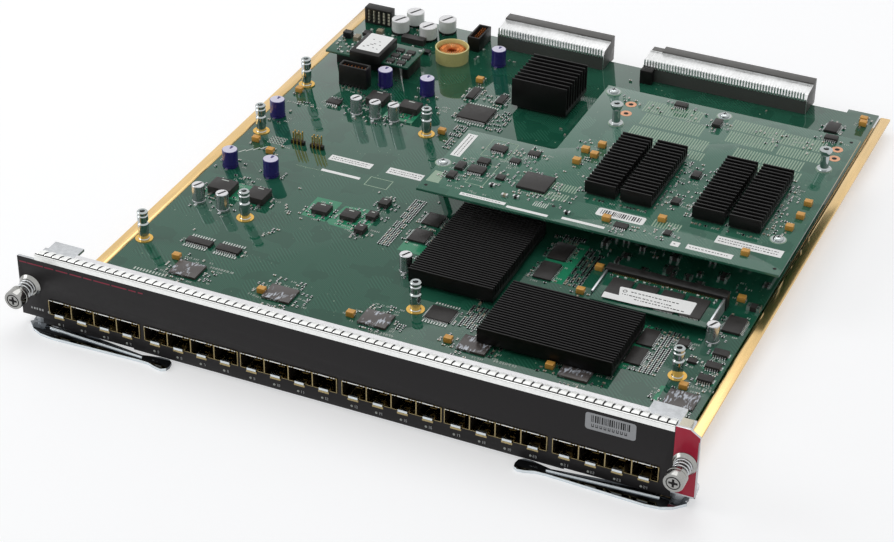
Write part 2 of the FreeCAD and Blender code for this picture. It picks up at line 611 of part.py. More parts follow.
# ================================================================ ports
def port_cage(ports):
    """Ganged cage: folded cover, base with a latch tab for each port, and dividers."""
    left, right = cage_span(ports)
    top = BOARD_TOP + CAGE_HEIGHT
    back = CAGE_DEPTH - CAGE_NOSE
    cover = block((left, right), (-CAGE_NOSE, back), (BOARD_TOP, top))
    cover = cover.cut(block((left + CAGE_WALL, right - CAGE_WALL), (-CAGE_NOSE - 1, back - CAGE_WALL),
                            (BOARD_TOP - 1, top - CAGE_WALL)))
    base = block((left + CAGE_WALL, right - CAGE_WALL), (-CAGE_NOSE, back - CAGE_WALL),
                 (BOARD_TOP, BOARD_TOP + CAGE_WALL))
    tab_front = -CAGE_NOSE - LATCH_TAB_REACH
    tabs = []
    for x in ports:
        low = BOARD_TOP - LATCH_TAB_DROP
        hook = prism([(-CAGE_NOSE, BOARD_TOP), (-CAGE_NOSE, BOARD_TOP + CAGE_WALL),
                      (tab_front, BOARD_TOP + CAGE_WALL),
                      (tab_front, low), (tab_front + 2 * CAGE_WALL, low), (tab_front + 2 * CAGE_WALL,
                                                                           BOARD_TOP)],
                     "YZ", x - LATCH_TAB_WIDTH / 2, LATCH_TAB_WIDTH)
        tabs.append(hook)
    dividers = [block((x + PORT_PITCH / 2 - CAGE_WALL / 2, x + PORT_PITCH / 2 + CAGE_WALL / 2),
                      (-CAGE_NOSE, back - CAGE_WALL), (BOARD_TOP + CAGE_WALL,
                                                       top - CAGE_WALL)) for x in ports[:-1]]
    return [cover, join([base] + tabs)] + dividers


def port_connectors():
    """The edge connector at the back of each port."""
    y = CAGE_DEPTH - CAGE_NOSE - CAGE_WALL - PORT_CONNECTOR_SETBACK - PORT_CONNECTOR[1] / 2
    return [centred_block(x, y, BOARD_TOP + CAGE_WALL,
                          PORT_CONNECTOR) for ports in port_positions() for x in ports]


# ================================================================ boards and posts
def main_board():
    tab_width, tab_depth = BOARD_CORNER_TAB
    points = [(-half_board, BOARD_FRONT), (half_board, BOARD_FRONT), (half_board, board_back + tab_depth),
              (half_board - tab_width, board_back + tab_depth), (half_board - tab_width,
                                                                 board_back), (-half_board, board_back)]
    return prism(points, "XY", board_bottom, BOARD_THICKNESS)


def tray_standoffs():
    places = FREE_POSTS + DAUGHTER_SCREWS
    return [hex_post(x, y, tray_floor, STANDOFF_RADIUS, board_bottom - tray_floor) for x, y in places]


def spacer_post(x, y):
    """Post with a groove above its middle."""
    waist = POST_HEIGHT * 0.62
    profile = [(POST_RADIUS, 0), (POST_RADIUS, waist - POST_WAIST_BEVEL), (POST_WAIST_RADIUS, waist),
               (POST_RADIUS, waist + POST_WAIST_BEVEL), (POST_RADIUS, POST_HEIGHT)]
    return faceted(profile, POST_SIDES, x, y, BOARD_TOP)


def hex_post(x, y, z, radius, height):
    return faceted([(radius, 0), (radius, height)], 6, x, y, z)


def spacer_posts():
    carrying = [hex_post(x, y, BOARD_TOP, POST_RADIUS, DAUGHTER_CLEARANCE) for x, y in DAUGHTER_SCREWS]
    return [spacer_post(x, y) for x, y in FREE_POSTS] + carrying


DAUGHTER_OUTLINE = [(-37, 173.5), (182.5, 173.5), (182.5, 338), (20, 338), (20, 249), (-37, 249)]
DAUGHTER_INNER_RADIUS = 3.0


def daughter_board():
    return prism(DAUGHTER_OUTLINE, "XY", daughter_bottom, DAUGHTER_THICKNESS,
                 [0, 0, 0, 0, DAUGHTER_INNER_RADIUS, 0])


def daughter_screws():
    """Pan-head screws over the carrying posts."""
    return [faceted([(3.0, 0), (2.8, 1.2), (1.7, 2.0)], POST_SIDES, x, y, daughter_top) for x,
            y in DAUGHTER_SCREWS]


def daughter_posts():
    """Tapered posts with a round foot."""
    height = DAUGHTER_POST_HEIGHT
    profile = [(4.4, 0), (4.4, 0.8), (2.6, 1.2), (POST_RADIUS, height - 3), (POST_RADIUS, height)]
    return [faceted(profile, POST_SIDES, x, y, daughter_top) for x, y in DAUGHTER_POSTS]


def daughter_connectors():
    """Mated board-to-board connectors between the two boards."""
    gap = (BOARD_TOP, daughter_bottom)
    return [block(DAUGHTER_LINK_X, (y, y + DAUGHTER_LINK_DEPTH), gap) for y in DAUGHTER_LINKS_Y]


# ================================================================ heat sinks and chips
def finned_sink(x, y, z, size, height, pitch):
    """Extruded heat sink with fins that run along X, centred on x and y."""
    width, depth = size
    count = int(round((depth - SINK_FIN) / pitch)) + 1
    step = (depth - SINK_FIN) / (count - 1)
    front = y - depth / 2
    points = [(front, z)]
    for fin in range(count):
        start = front + fin * step
        if fin:
            points.append((start, z + SINK_BASE))
        points += [(start, z + height), (start + SINK_FIN, z + height)]
        if fin < count - 1:
            points.append((start + SINK_FIN, z + SINK_BASE))
    points.append((front + depth, z))
    return prism(points, "YZ", x - width / 2, width)


def sink_packages():
    places = [(FRONT_LEFT_SINK[0], LARGE_PACKAGE), (FRONT_RIGHT_SINK[0], LARGE_PACKAGE),
              (TALL_SINK[0], TALL_PACKAGE)]
    return [centred_block(x, y, BOARD_TOP, (w, d, PACKAGE_HEIGHT)) for (x, y), (w, d) in places]


def phy_chips():
    x, y = PHY_CHIP_FIRST
    return [centred_block(x + PHY_CHIP_PITCH * n, y, BOARD_TOP, PHY_CHIP) for n in range(CAGE_COUNT)]


def packages(places, z):
    """Plain package bodies that stand at z."""
    return [centred_block(x, y, z, (width, depth, height)) for x, y, width, depth, height in places]


def can_capacitor(x, y, radius, height):
    """Aluminium can with a bevelled top edge."""
    return faceted([(radius, 0), (radius, height - CAP_BEVEL), (radius - CAP_BEVEL, height)], CAP_SIDES, x,
                   y, BOARD_TOP)


def tantalums(places, z):
    return [centred_block(x, y, z, TANTALUM) for x, y in places]


def daughter_packages():
    """Loose packages and the flat ones under the four heat sinks."""
    flat = [centred_block(x, y, daughter_top, (*DAUGHTER_PACKAGE, DAUGHTER_PACKAGE_HEIGHT)) for x,
            y in DAUGHTER_SINKS]
    return packages(DAUGHTER_CHIPS, daughter_top) + flat


# ================================================================ power corner and headers
def choke_case():
    """Round cup, open on top, that holds the wound toroid."""
    inner = CHOKE_RADIUS - 1.0
    cup = faceted([(CHOKE_RADIUS - 0.4, 0), (CHOKE_RADIUS, CHOKE_HEIGHT)], CHOKE_SIDES, *CHOKE, BOARD_TOP)
    return cup.cut(faceted([(inner, CHOKE_FLOOR), (inner, CHOKE_HEIGHT + 1)], CHOKE_SIDES, *CHOKE, BOARD_TOP))


def choke_winding():
    """Wound ring with bevelled edges that stands on the cup's floor."""
    outer, height, bevel = CHOKE_RADIUS - 1.6, CHOKE_HEIGHT - CHOKE_FLOOR - 0.9, 1.2
    ring = faceted([(outer - bevel, 0), (outer, bevel), (outer, height - bevel), (outer - bevel, height)],
                   CHOKE_SIDES, *CHOKE, BOARD_TOP + CHOKE_FLOOR)
    bore = faceted([(WINDING_BORE, -1), (WINDING_BORE, height + 1)], CHOKE_SIDES // 2, *CHOKE,
                   BOARD_TOP + CHOKE_FLOOR)
    return ring.cut(bore)


def power_board():
    return block(POWER_BOARD_X, POWER_BOARD_Y, (POWER_BOARD_TOP - POWER_BOARD_THICKNESS, POWER_BOARD_TOP))


def power_brick():
    """Converter case on the raised board and the core halves that carry it."""
    under = (BOARD_TOP, POWER_BOARD_TOP - POWER_BOARD_THICKNESS)
    left, right = POWER_BOARD_X
    front, back = POWER_BOARD_Y
    case = block((left + 19.5, left + 40.5), (front - 4.5, back - 4.5),
                 (POWER_BOARD_TOP, POWER_BOARD_TOP + BRICK_HEIGHT))
    core = block((left + 5, left + 40), (front + 6, back - 2), under)
    leg = block((right - 5.5, right - 1.5), (front + 4, back - 4), under)
    return [case, core, leg]


def shrouded_header(place, width, length, height):
    """Open-topped shroud standing on the board."""
    shroud = centred_block(*place, BOARD_TOP, (width, length, height))
    pocket = centred_block(*place, BOARD_TOP + SHROUD_FLOOR,
                           (width - 2 * SHROUD_WALL, length - 2 * SHROUD_WALL, height))
    return shroud.cut(pocket)


def shrouded_headers():
    return [shrouded_header(REAR_HEADER, *REAR_HEADER_SIZE),
            shrouded_header(FRONT_HEADER, *FRONT_HEADER_SIZE)]


def pin_headers():
    """Two small strips with a plastic base."""
    return [centred_block(x, y, BOARD_TOP, PIN_HEADER) for x, y in PIN_HEADERS]


def rear_power_connector():
    """Upright contact comb at the back left corner."""
    left, front = REAR_COMB
    width, depth, height = COMB_SIZE
    comb = block((left, left + width), (front, front + depth), (BOARD_TOP, BOARD_TOP + height))
    for slot in range(COMB_SLOTS):
        x = left + COMB_SLOT_FIRST + COMB_SLOT_PITCH * slot
        comb = comb.cut(block((x, x + COMB_SLOT_WIDTH), (front - 1, front + depth - COMB_WALL),
                              (BOARD_TOP + COMB_WALL, BOARD_TOP + height - COMB_WALL)))
    return comb


# ================================================================ memory
def memory_module():
    return block(MEMORY_X, MEMORY_Y, (MEMORY_Z, MEMORY_Z + MODULE_THICKNESS))


def memory_chips():
    bay = (MEMORY_X[1] - MEMORY_X[0] - 2 * MODULE_MARGIN) / MEMORY_CHIPS
    middle = sum(MEMORY_Y) / 2 - 1
    return [centred_block(MEMORY_X[0] + MODULE_MARGIN + bay * (n + 0.5), middle, MEMORY_Z + MODULE_THICKNESS,
                          MEMORY_CHIP) for n in range(MEMORY_CHIPS)]


def memory_socket():
    """Slotted bar across the back that takes the module's edge."""
    left, right = MEMORY_X
    bar = block((left - 2, right + 2), (MEMORY_Y[1] - SOCKET_GRIP, MEMORY_Y[1] + 5),
                (BOARD_TOP, MEMORY_Z + 3.2))
    slot = block((left - FACE_CLEARANCE, right + FACE_CLEARANCE),
                 (MEMORY_Y[1] - 2 * SOCKET_GRIP, MEMORY_Y[1]),
                 (MEMORY_Z, MEMORY_Z + MODULE_THICKNESS))
    return bar.cut(slot)


def memory_latches():
    """Sprung metal arms beside the module."""
    arms = []
    for x, side in ((MEMORY_X[0], -1), (MEMORY_X[1], 1)):
        edges = sorted((x + side * 2 * FACE_CLEARANCE, x + side * 1.4))
        arms.append(block(edges, (MEMORY_Y[0] + 6, MEMORY_Y[1] - SOCKET_GRIP), (BOARD_TOP, MEMORY_Z + 2.4)))
    return arms


# ================================================================ backplane connectors
def shield_line():
    """Y and Z of the body's front and sloping top, under the shield."""
    front = connector_front + 2
    return [(front, BOARD_TOP), (front, BOARD_TOP + 10.0), (front + 1.5, BOARD_TOP + 12.6),
            (CONNECTOR_BACK - RIDGE_DEPTH, BOARD_TOP + 14.0)]


def backplane_housing(left, right, ridge_left):
    """Receptacle body that straddles the board's back edge, with a raised ridge along its back."""
    lip = BOARD_TOP - 1.5
    points = shield_line() + [(CONNECTOR_BACK, BOARD_TOP + 14.0), (CONNECTOR_BACK, lip),
                              (board_back + 0.2, lip),
                              (board_back + 0.2, BOARD_TOP)]
    ridge = block((ridge_left, right), (CONNECTOR_BACK - RIDGE_DEPTH, CONNECTOR_BACK),
                  (BOARD_TOP + 13.0, BOARD_TOP + CONNECTOR_HEIGHT))
    return join([prism(points, "YZ", left, right - left), ridge])


def backplane_housings():
    return [backplane_housing(*SMALL_CONNECTOR, SMALL_CONNECTOR[0]),
            backplane_housing(*LARGE_CONNECTOR, LARGE_CONNECTOR[0] + KEY_WIDTH)]


def backplane_shield(left, right):
    """Stamped shield that follows the body's front and top."""
    inner = shield_line()
    t = SHIELD_THICKNESS
    outer = [(inner[0][0] - t, inner[0][1]), (inner[1][0] - t, inner[1][1] + t / 3),
             (inner[2][0] - t / 2, inner[2][1] + t), (inner[3][0], inner[3][1] + t)]
    return prism(outer[:1] + inner + outer[:0:-1], "YZ", left, right - left)


def key_block():
    left = LARGE_CONNECTOR[0]
    return block((left, left + KEY_WIDTH), (connector_front - 4.5, connector_front + 1.0),
                 (BOARD_TOP, BOARD_TOP + 9.5))


# ================================================================ write every node
def build():
    os.makedirs("parts", exist_ok=True)
    save("carrier_tray", carrier_tray())
    save("tray_standoffs", tray_standoffs())
    save("faceplate", faceplate())
    save("panel_overlay", panel_overlay())
    save("end_overlay", end_overlay())
    save("emi_gasket_strip", gasket_strip())
    save("corner_pad", corner_pad())
    lever = ejector_lever()
    pivot = lever_pivot()
    save("ejector_lever_right", lever)
    save("ejector_lever_left", mirrored(lever))
    save("lever_pivots", [pivot, mirrored(pivot)])
    for side, x in (("left", -screw_x), ("right", screw_x)):
        save(f"captive_screw_{side}", captive_screw(x))
        save(f"screw_washer_{side}", screw_washer(x))
        save(f"screw_spring_{side}", screw_spring(x))
    save("screw_collars", [screw_collar(x) for x in (-screw_x, screw_x)])
    for number, ports in enumerate(port_positions(), 1):
        save(f"port_cage_{number}", port_cage(ports))
    save("port_connectors", port_connectors())
    save("main_board", main_board())
    save("spacer_posts", spacer_posts())
    for node, (centre, size), height, pitch in (
            ("heatsink_front_left", FRONT_LEFT_SINK, LARGE_SINK_HEIGHT, LARGE_SINK_PITCH),
            ("heatsink_front_right", FRONT_RIGHT_SINK, LARGE_SINK_HEIGHT, LARGE_SINK_PITCH),
            ("heatsink_tall", TALL_SINK, TALL_SINK_HEIGHT, TALL_SINK_PITCH)):
        save(node, finned_sink(*centre, SINK_SEAT, size, height, pitch))
    save("sink_packages", sink_packages())
    save("phy_chips", phy_chips())
    save("board_chips", packages(BOARD_CHIPS, BOARD_TOP))
    save("regulators", packages(REGULATORS, BOARD_TOP))
    for node, places, size in (("purple_capacitors", PURPLE_CAPS, PURPLE_CAP),
                               ("silver_capacitors", SILVER_CAPS, SILVER_CAP),
                               ("filter_capacitors", FILTER_CAPS, FILTER_CAP)):
        save(node, [can_capacitor(x, y, *size) for x, y in places])
    save("tantalum_capacitors", tantalums(TANTALUMS, BOARD_TOP) + tantalums(DAUGHTER_TANTALUMS, daughter_top))
    save("choke_case", choke_case())
    save("choke_winding", choke_winding())
    save("power_board", power_board())
    save("power_brick", power_brick())
    save("shrouded_headers", shrouded_headers())
    save("pin_headers", pin_headers())
    save("rear_power_connector", rear_power_connector())
    save("memory_module", memory_module())
    save("memory_chips", memory_chips())
    save("memory_socket", memory_socket())
    save("memory_latches", memory_latches())
    save("backplane_housings", backplane_housings())
    save("backplane_shields", [backplane_shield(*span) for span in (SMALL_CONNECTOR, LARGE_CONNECTOR)])
    save("backplane_key_block", key_block())
    save("daughter_board", daughter_board())
    save("daughter_screws", daughter_screws())
    save("daughter_posts", daughter_posts())
    save("daughter_connectors", daughter_connectors())
    save("daughter_heatsinks", [finned_sink(x, y, daughter_top + DAUGHTER_PACKAGE_HEIGHT, DAUGHTER_SINK_SIZE,
                                            SMALL_SINK_HEIGHT, SMALL_SINK_PITCH) for x, y in DAUGHTER_SINKS])
    save("daughter_chips", daughter_packages())


build()
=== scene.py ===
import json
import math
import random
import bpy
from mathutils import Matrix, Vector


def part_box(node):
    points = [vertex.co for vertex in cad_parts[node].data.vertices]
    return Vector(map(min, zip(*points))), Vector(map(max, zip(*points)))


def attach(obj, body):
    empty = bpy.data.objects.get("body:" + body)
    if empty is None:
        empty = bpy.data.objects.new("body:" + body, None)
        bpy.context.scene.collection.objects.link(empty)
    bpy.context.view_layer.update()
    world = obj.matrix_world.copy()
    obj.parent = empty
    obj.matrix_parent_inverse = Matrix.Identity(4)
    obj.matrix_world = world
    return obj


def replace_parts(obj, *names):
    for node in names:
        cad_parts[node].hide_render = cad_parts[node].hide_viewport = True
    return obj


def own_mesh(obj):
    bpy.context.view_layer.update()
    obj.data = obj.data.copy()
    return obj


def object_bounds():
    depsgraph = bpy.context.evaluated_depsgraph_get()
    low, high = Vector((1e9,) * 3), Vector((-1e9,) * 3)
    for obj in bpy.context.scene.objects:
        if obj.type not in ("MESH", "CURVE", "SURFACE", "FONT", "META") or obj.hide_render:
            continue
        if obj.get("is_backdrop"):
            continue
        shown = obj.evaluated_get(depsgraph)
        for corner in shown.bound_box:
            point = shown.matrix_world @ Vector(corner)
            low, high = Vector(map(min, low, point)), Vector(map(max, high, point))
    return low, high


bl_info = {
    "name": "Switch Line Card Looks",
    "version": (1, 0, 0),
    "blender": (4, 5, 0),
    "location": "3D View > Sidebar > Line Card",
    "description": "Finishes, small parts, print, floor and light for the switch line card",
    "category": "Object",
}

import bmesh
import bpy
from bpy.props import FloatProperty, FloatVectorProperty, PointerProperty
from mathutils import Matrix, Vector

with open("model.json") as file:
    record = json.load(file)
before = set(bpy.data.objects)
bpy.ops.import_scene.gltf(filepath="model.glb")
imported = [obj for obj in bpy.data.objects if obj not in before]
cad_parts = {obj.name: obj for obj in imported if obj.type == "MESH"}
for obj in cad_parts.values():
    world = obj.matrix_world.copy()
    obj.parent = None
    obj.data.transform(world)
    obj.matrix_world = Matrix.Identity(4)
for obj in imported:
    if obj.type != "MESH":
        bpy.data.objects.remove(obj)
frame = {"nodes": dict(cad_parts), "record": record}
CAD_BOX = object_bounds()

MM = 0.001
FACE_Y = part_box("panel_overlay")[0].y      # front face of the panel, the zero of every Y below
FINISH_PREFIX = "card_"                    # sets this file's materials apart from the plain ones of the CAD
PRINT = 0.05                               # thickness of ink and of labels, in millimetres
MASK = 0.03                                # height of bare mask and bare metal over a board's face
ON_PANEL = (-PRINT, 0)                     # Y of what is printed on the panel
SLOTS = {subpart["node"]: subpart["material_slot"] for subpart in frame["record"]["subparts"]}


# ---------------------------------------------------------------- measuring and mesh building
def linear(red, green, blue):
    """A display colour, 0 to 255, as the values a shader takes."""
    parts = [value / 255 for value in (red, green, blue)]
    return tuple(p / 12.92 if p <= 0.04045 else ((p + 0.055) / 1.055) ** 2.4 for p in parts)


def span(node):
    """Lowest and highest corner of a CAD node, in the card's millimetres."""
    low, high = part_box(node)
    return on_card(low), on_card(high)


def on_card(point):
    return Vector((point[0] / MM, (point[1] - FACE_Y) / MM, point[2] / MM))


def islands(node):
    """Lowest and highest corner of each separate solid of a CAD node, in the card's millimetres."""
    mesh = frame["nodes"][node].data
    keys = [tuple(round(c, 6) for c in v.co) for v in mesh.vertices]
    leader = {key: key for key in keys}

    def root(key):
        while leader[key] != key:
            leader[key] = leader[leader[key]]
            key = leader[key]
        return key

    for polygon in mesh.polygons:
        first = root(keys[polygon.vertices[0]])
        for index in polygon.vertices[1:]:
            leader[root(keys[index])] = first
    groups = {}
    for key in sorted(leader):
        groups.setdefault(root(key), []).append(on_card(key))
    boxes = [(Vector(min(p[i] for p in g) for i in range(3)), Vector(max(p[i] for p in g) for i in range(3)))
             for g in groups.values()]
    return sorted(boxes, key=lambda box: (round(box[0].x, 2), round(box[0].y, 2)))


def centres(node):
    """Middle X and Y of each separate solid of a CAD node, then its lowest and highest corner."""
    for low, high in islands(node):
        yield (low.x + high.x) / 2, (low.y + high.y) / 2, low, high


def film(z, layer=0):
    """Lower and upper face of a layer of print over a surface; layers above paper start at 2."""
    return z + PRINT * layer, z + PRINT * (layer + 1)


def angles(count):
    return [2 * math.pi * k / count for k in range(count)]


def outward(mesh):
    """Turn every face of the closed shapes outwards."""
    work = bmesh.new()
    work.from_mesh(mesh)
    bmesh.ops.recalc_face_normals(work, faces=work.faces)
    work.to_mesh(mesh)
    work.free()


class Shapes:
    """Plain closed shapes, in the card's millimetres, gathered into one mesh."""

    def __init__(self):
        self.points, self.faces, self.kinds = [], [], []

    def loft(self, rings, kind=0):
        """A closed solid through rings of equally many points, each anticlockwise seen from the last."""
        first, count = len(self.points), len(rings[0])
        for ring in rings:
            self.points += ring
        self.faces.append(tuple(range(first + count - 1, first - 1, -1)))
        for step in range(len(rings) - 1):
            low = first + step * count
            for k in range(count):
                following = (k + 1) % count
                self.faces.append((low + k, low + following, low + count + following, low + count + k))
        self.faces.append(tuple(range(first + (len(rings) - 1) * count, first + len(rings) * count)))
        self.kinds += [kind] * (len(self.faces) - len(self.kinds))

    def hoop(self, rings, kind=0):
        """A closed band through rings of equally many points, the last ring joined to the first."""
        first, count = len(self.points), len(rings[0])
        for step, ring in enumerate(rings):
            self.points += ring
            here, ahead = first + step * count, first + (step + 1) % len(rings) * count
            self.faces += [(here + k, here + (k + 1) % count, ahead + (k + 1) % count, ahead + k)
                           for k in range(count)]
        self.kinds += [kind] * (len(self.faces) - len(self.kinds))

    def box(self, x, y, z, kind=0):
        """A box from three (low, high) pairs."""
        self.loft([[(x[0], y[0], h), (x[1], y[0], h), (x[1], y[1], h), (x[0], y[1], h)] for h in z], kind)

    def block(self, x, y, z, size, kind=0):
        """A box centred on x, y that stands at z."""
        self.box((x - size[0] / 2, x + size[0] / 2), (y - size[1] / 2, y + size[1] / 2), (z, z + size[2]),
                 kind)

    def slab(self, outline, z, kind=0):
        """A flat piece of any outline, anticlockwise from above, between two heights."""
        self.loft([[(x, y, h) for x, y in outline] for h in z], kind)

    def front_slab(self, outline, y, kind=0):
        """A flat piece upright on the panel: the outline is in X and Z, anticlockwise from the front."""
        self.loft([[(x, depth, z) for x, z in outline] for depth in (y[1], y[0])], kind)

    def turned(self, x, y, profile, sides, kind=0):
        """A turned piece: rising (radius, height) pairs about an upright line."""
        self.loft([[(x + r * math.cos(a), y + r * math.sin(a), h) for a in angles(sides)] for r,
                   h in profile], kind)

    def turned_forward(self, x, z, profile, sides, kind=0):
        """A turned piece about a line to the front: (radius, Y) pairs from back to front."""
        self.loft([[(x + r * math.cos(a), y, z + r * math.sin(a)) for a in angles(sides)] for r,
                   y in profile], kind)

    def pierced_forward(self, x, z, profile, bore, sides=48, kind=0):
        """The same with a hole along its axis."""
        profile = profile + [(bore, profile[-1][1]), (bore, profile[0][1])]
        self.hoop([[(x + r * math.cos(a), y, z + r * math.sin(a)) for a in angles(sides)] for r,
                   y in profile], kind)

    def spike(self, x, y, sections, kind=0):
        """A square pin: (half width, height) pairs from its foot to its point."""
        self.loft([[(x - r, y - r, h), (x + r, y - r, h), (x + r, y + r, h), (x - r, y + r, h)]
                   for r, h in sections], kind)

    def frame(self, low, high, z, line, kind=0):
        """A flat rectangular outline of a given line width."""
        self.box((low[0], high[0]), (low[1], low[1] + line), z, kind)
        self.box((low[0], high[0]), (high[1] - line, high[1]), z, kind)
        self.box((low[0], low[0] + line), (low[1] + line, high[1] - line), z, kind)
        self.box((high[0] - line, high[0]), (low[1] + line, high[1] - line), z, kind)

    def ring(self, x, y, z, inner, outer, sides=20, kind=0):
        """A flat washer between two heights."""
        self.hoop([[(x + r * math.cos(a), y + r * math.sin(a), h) for a in angles(sides)]
                   for r, h in ((inner, z[0]), (outer, z[0]), (outer, z[1]), (inner, z[1]))], kind)

    def made(self, name, finishes, body="card", smooth=None):
        """The object: finishes are the names of materials in the order of the kinds."""
        mesh = bpy.data.meshes.new(name)
        mesh.from_pydata([(x * MM, y * MM + FACE_Y, z * MM) for x, y, z in self.points], [], self.faces)
        for finish in finishes:
            mesh.materials.append(finish_called(finish))
        mesh.polygons.foreach_set("material_index", self.kinds)
        outward(mesh)
        if smooth is not None:
            mesh.shade_smooth()
            mesh.set_sharp_from_angle(angle=smooth)
        mesh.update()
        made = bpy.data.objects.new(name, mesh)
        bpy.context.scene.collection.objects.link(made)
        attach(made, body)
        return made


# ---------------------------------------------------------------- materials
def finish_called(name):
    return bpy.data.materials[FINISH_PREFIX + name]


class Finish:
    """A material with one principled surface, grained by the piece's own coordinates."""

    def __init__(self, name, colour, roughness, metallic=0.0, specular=0.5):
        old = bpy.data.materials.get(FINISH_PREFIX + name)
        if old:
            bpy.data.materials.remove(old)
        self.material = bpy.data.materials.new(FINISH_PREFIX + name)
        self.material.use_nodes = True
        self.tree = self.material.node_tree
        self.surface = self.tree.nodes["Principled BSDF"]
        for socket, value in (("Base Color", (*colour, 1)), ("Roughness", roughness), ("Metallic", metallic),
                              ("Specular IOR Level", specular)):
            self.surface.inputs[socket].default_value = value
        self.colour, self.roughness = colour, roughness
        self.place = self.node("ShaderNodeTexCoord").outputs["Object"]

    def feed(self, socket, value):
        """Link a socket to another, or set its value."""
        if isinstance(value, bpy.types.NodeSocket):
            self.tree.links.new(value, socket)
        else:
            socket.default_value = value

    def node(self, kind, inputs=None, **settings):
        made = self.tree.nodes.new(kind)
        for name, value in settings.items():
            setattr(made, name, value)
        for name, value in (inputs or {}).items():
            self.feed(made.inputs[name], value)
        return made

    def stretched(self, scale):
        return self.node("ShaderNodeMapping", {"Vector": self.place, "Scale": scale}).outputs[0]

    def noise(self, size, detail=2.0, stretch=(1, 1, 1)):
        """Soft noise whose features are about size millimetres across."""
        return self.node("ShaderNodeTexNoise", {"Vector": self.stretched(stretch), "Scale": 1 / (size * MM),
                                                "Detail": detail}).outputs["Fac"]

    def cells(self, size, output, metric="EUCLIDEAN", spread=1.0):
        return self.node("ShaderNodeTexVoronoi", {"Vector": self.place, "Scale": 1 / (size * MM),
                                                  "Randomness": spread}, distance=metric).outputs[output]

    def bands(self, pitch, direction):
        """Parallel lines, 0 to 1, a pitch in millimetres apart."""
        return self.node("ShaderNodeTexWave", {"Vector": self.place,
                                               "Scale": 2 * math.pi / (20 * pitch * MM)},
                         wave_type="BANDS", bands_direction=direction).outputs["Fac"]

    def ranged(self, value, low, high, from_low=0.0, from_high=1.0):
        return self.node("ShaderNodeMapRange", {"Value": value, "From Min": from_low, "From Max": from_high,
                                                "To Min": low, "To Max": high}).outputs[0]

    def math(self, operation, first, second=0.0):
        made = self.node("ShaderNodeMath", operation=operation)
        for socket, value in zip(made.inputs, (first, second)):
            self.feed(socket, value)
        return made.outputs[0]

    def mixed(self, share, first, second):
        """A colour between two, each a colour or a socket."""
        made = self.node("ShaderNodeMix", data_type="RGBA")
        self.feed(made.inputs[0], share)
        for socket, value in ((made.inputs[6], first), (made.inputs[7], second)):
            self.feed(socket, value if isinstance(value, bpy.types.NodeSocket) else (*value[:3], 1))
        return made.outputs[2]

    def set(self, socket, value):
        self.tree.links.new(value, self.surface.inputs[socket])

    def bump(self, height, strength, distance):
        """Relief: distance is its real height in millimetres."""
        bump = self.node("ShaderNodeBump", {"Height": height, "Strength": strength,
                                            "Distance": distance * MM})
        self.set("Normal", bump.outputs[0])

    def worn(self, size, stretch, shade, rough, relief):
        """Uneven colour, gloss and relief."""
        grain = self.noise(size, 3.0, stretch)
        dark = tuple(c * (1 - shade) for c in self.colour)
        pale = tuple(min(1.0, c * (1 + shade) + shade * 0.01) for c in self.colour)
        self.set("Base Color", self.mixed(self.ranged(grain, 0, 1, 0.3, 0.7), dark, pale))
        cloud = self.noise(size * 9, 2.0, stretch)
        self.set("Roughness", self.ranged(cloud, max(0.02, self.roughness - rough), self.roughness + rough,
                                          0.3, 0.7))
        if relief:
            self.bump(grain, 0.6, relief)


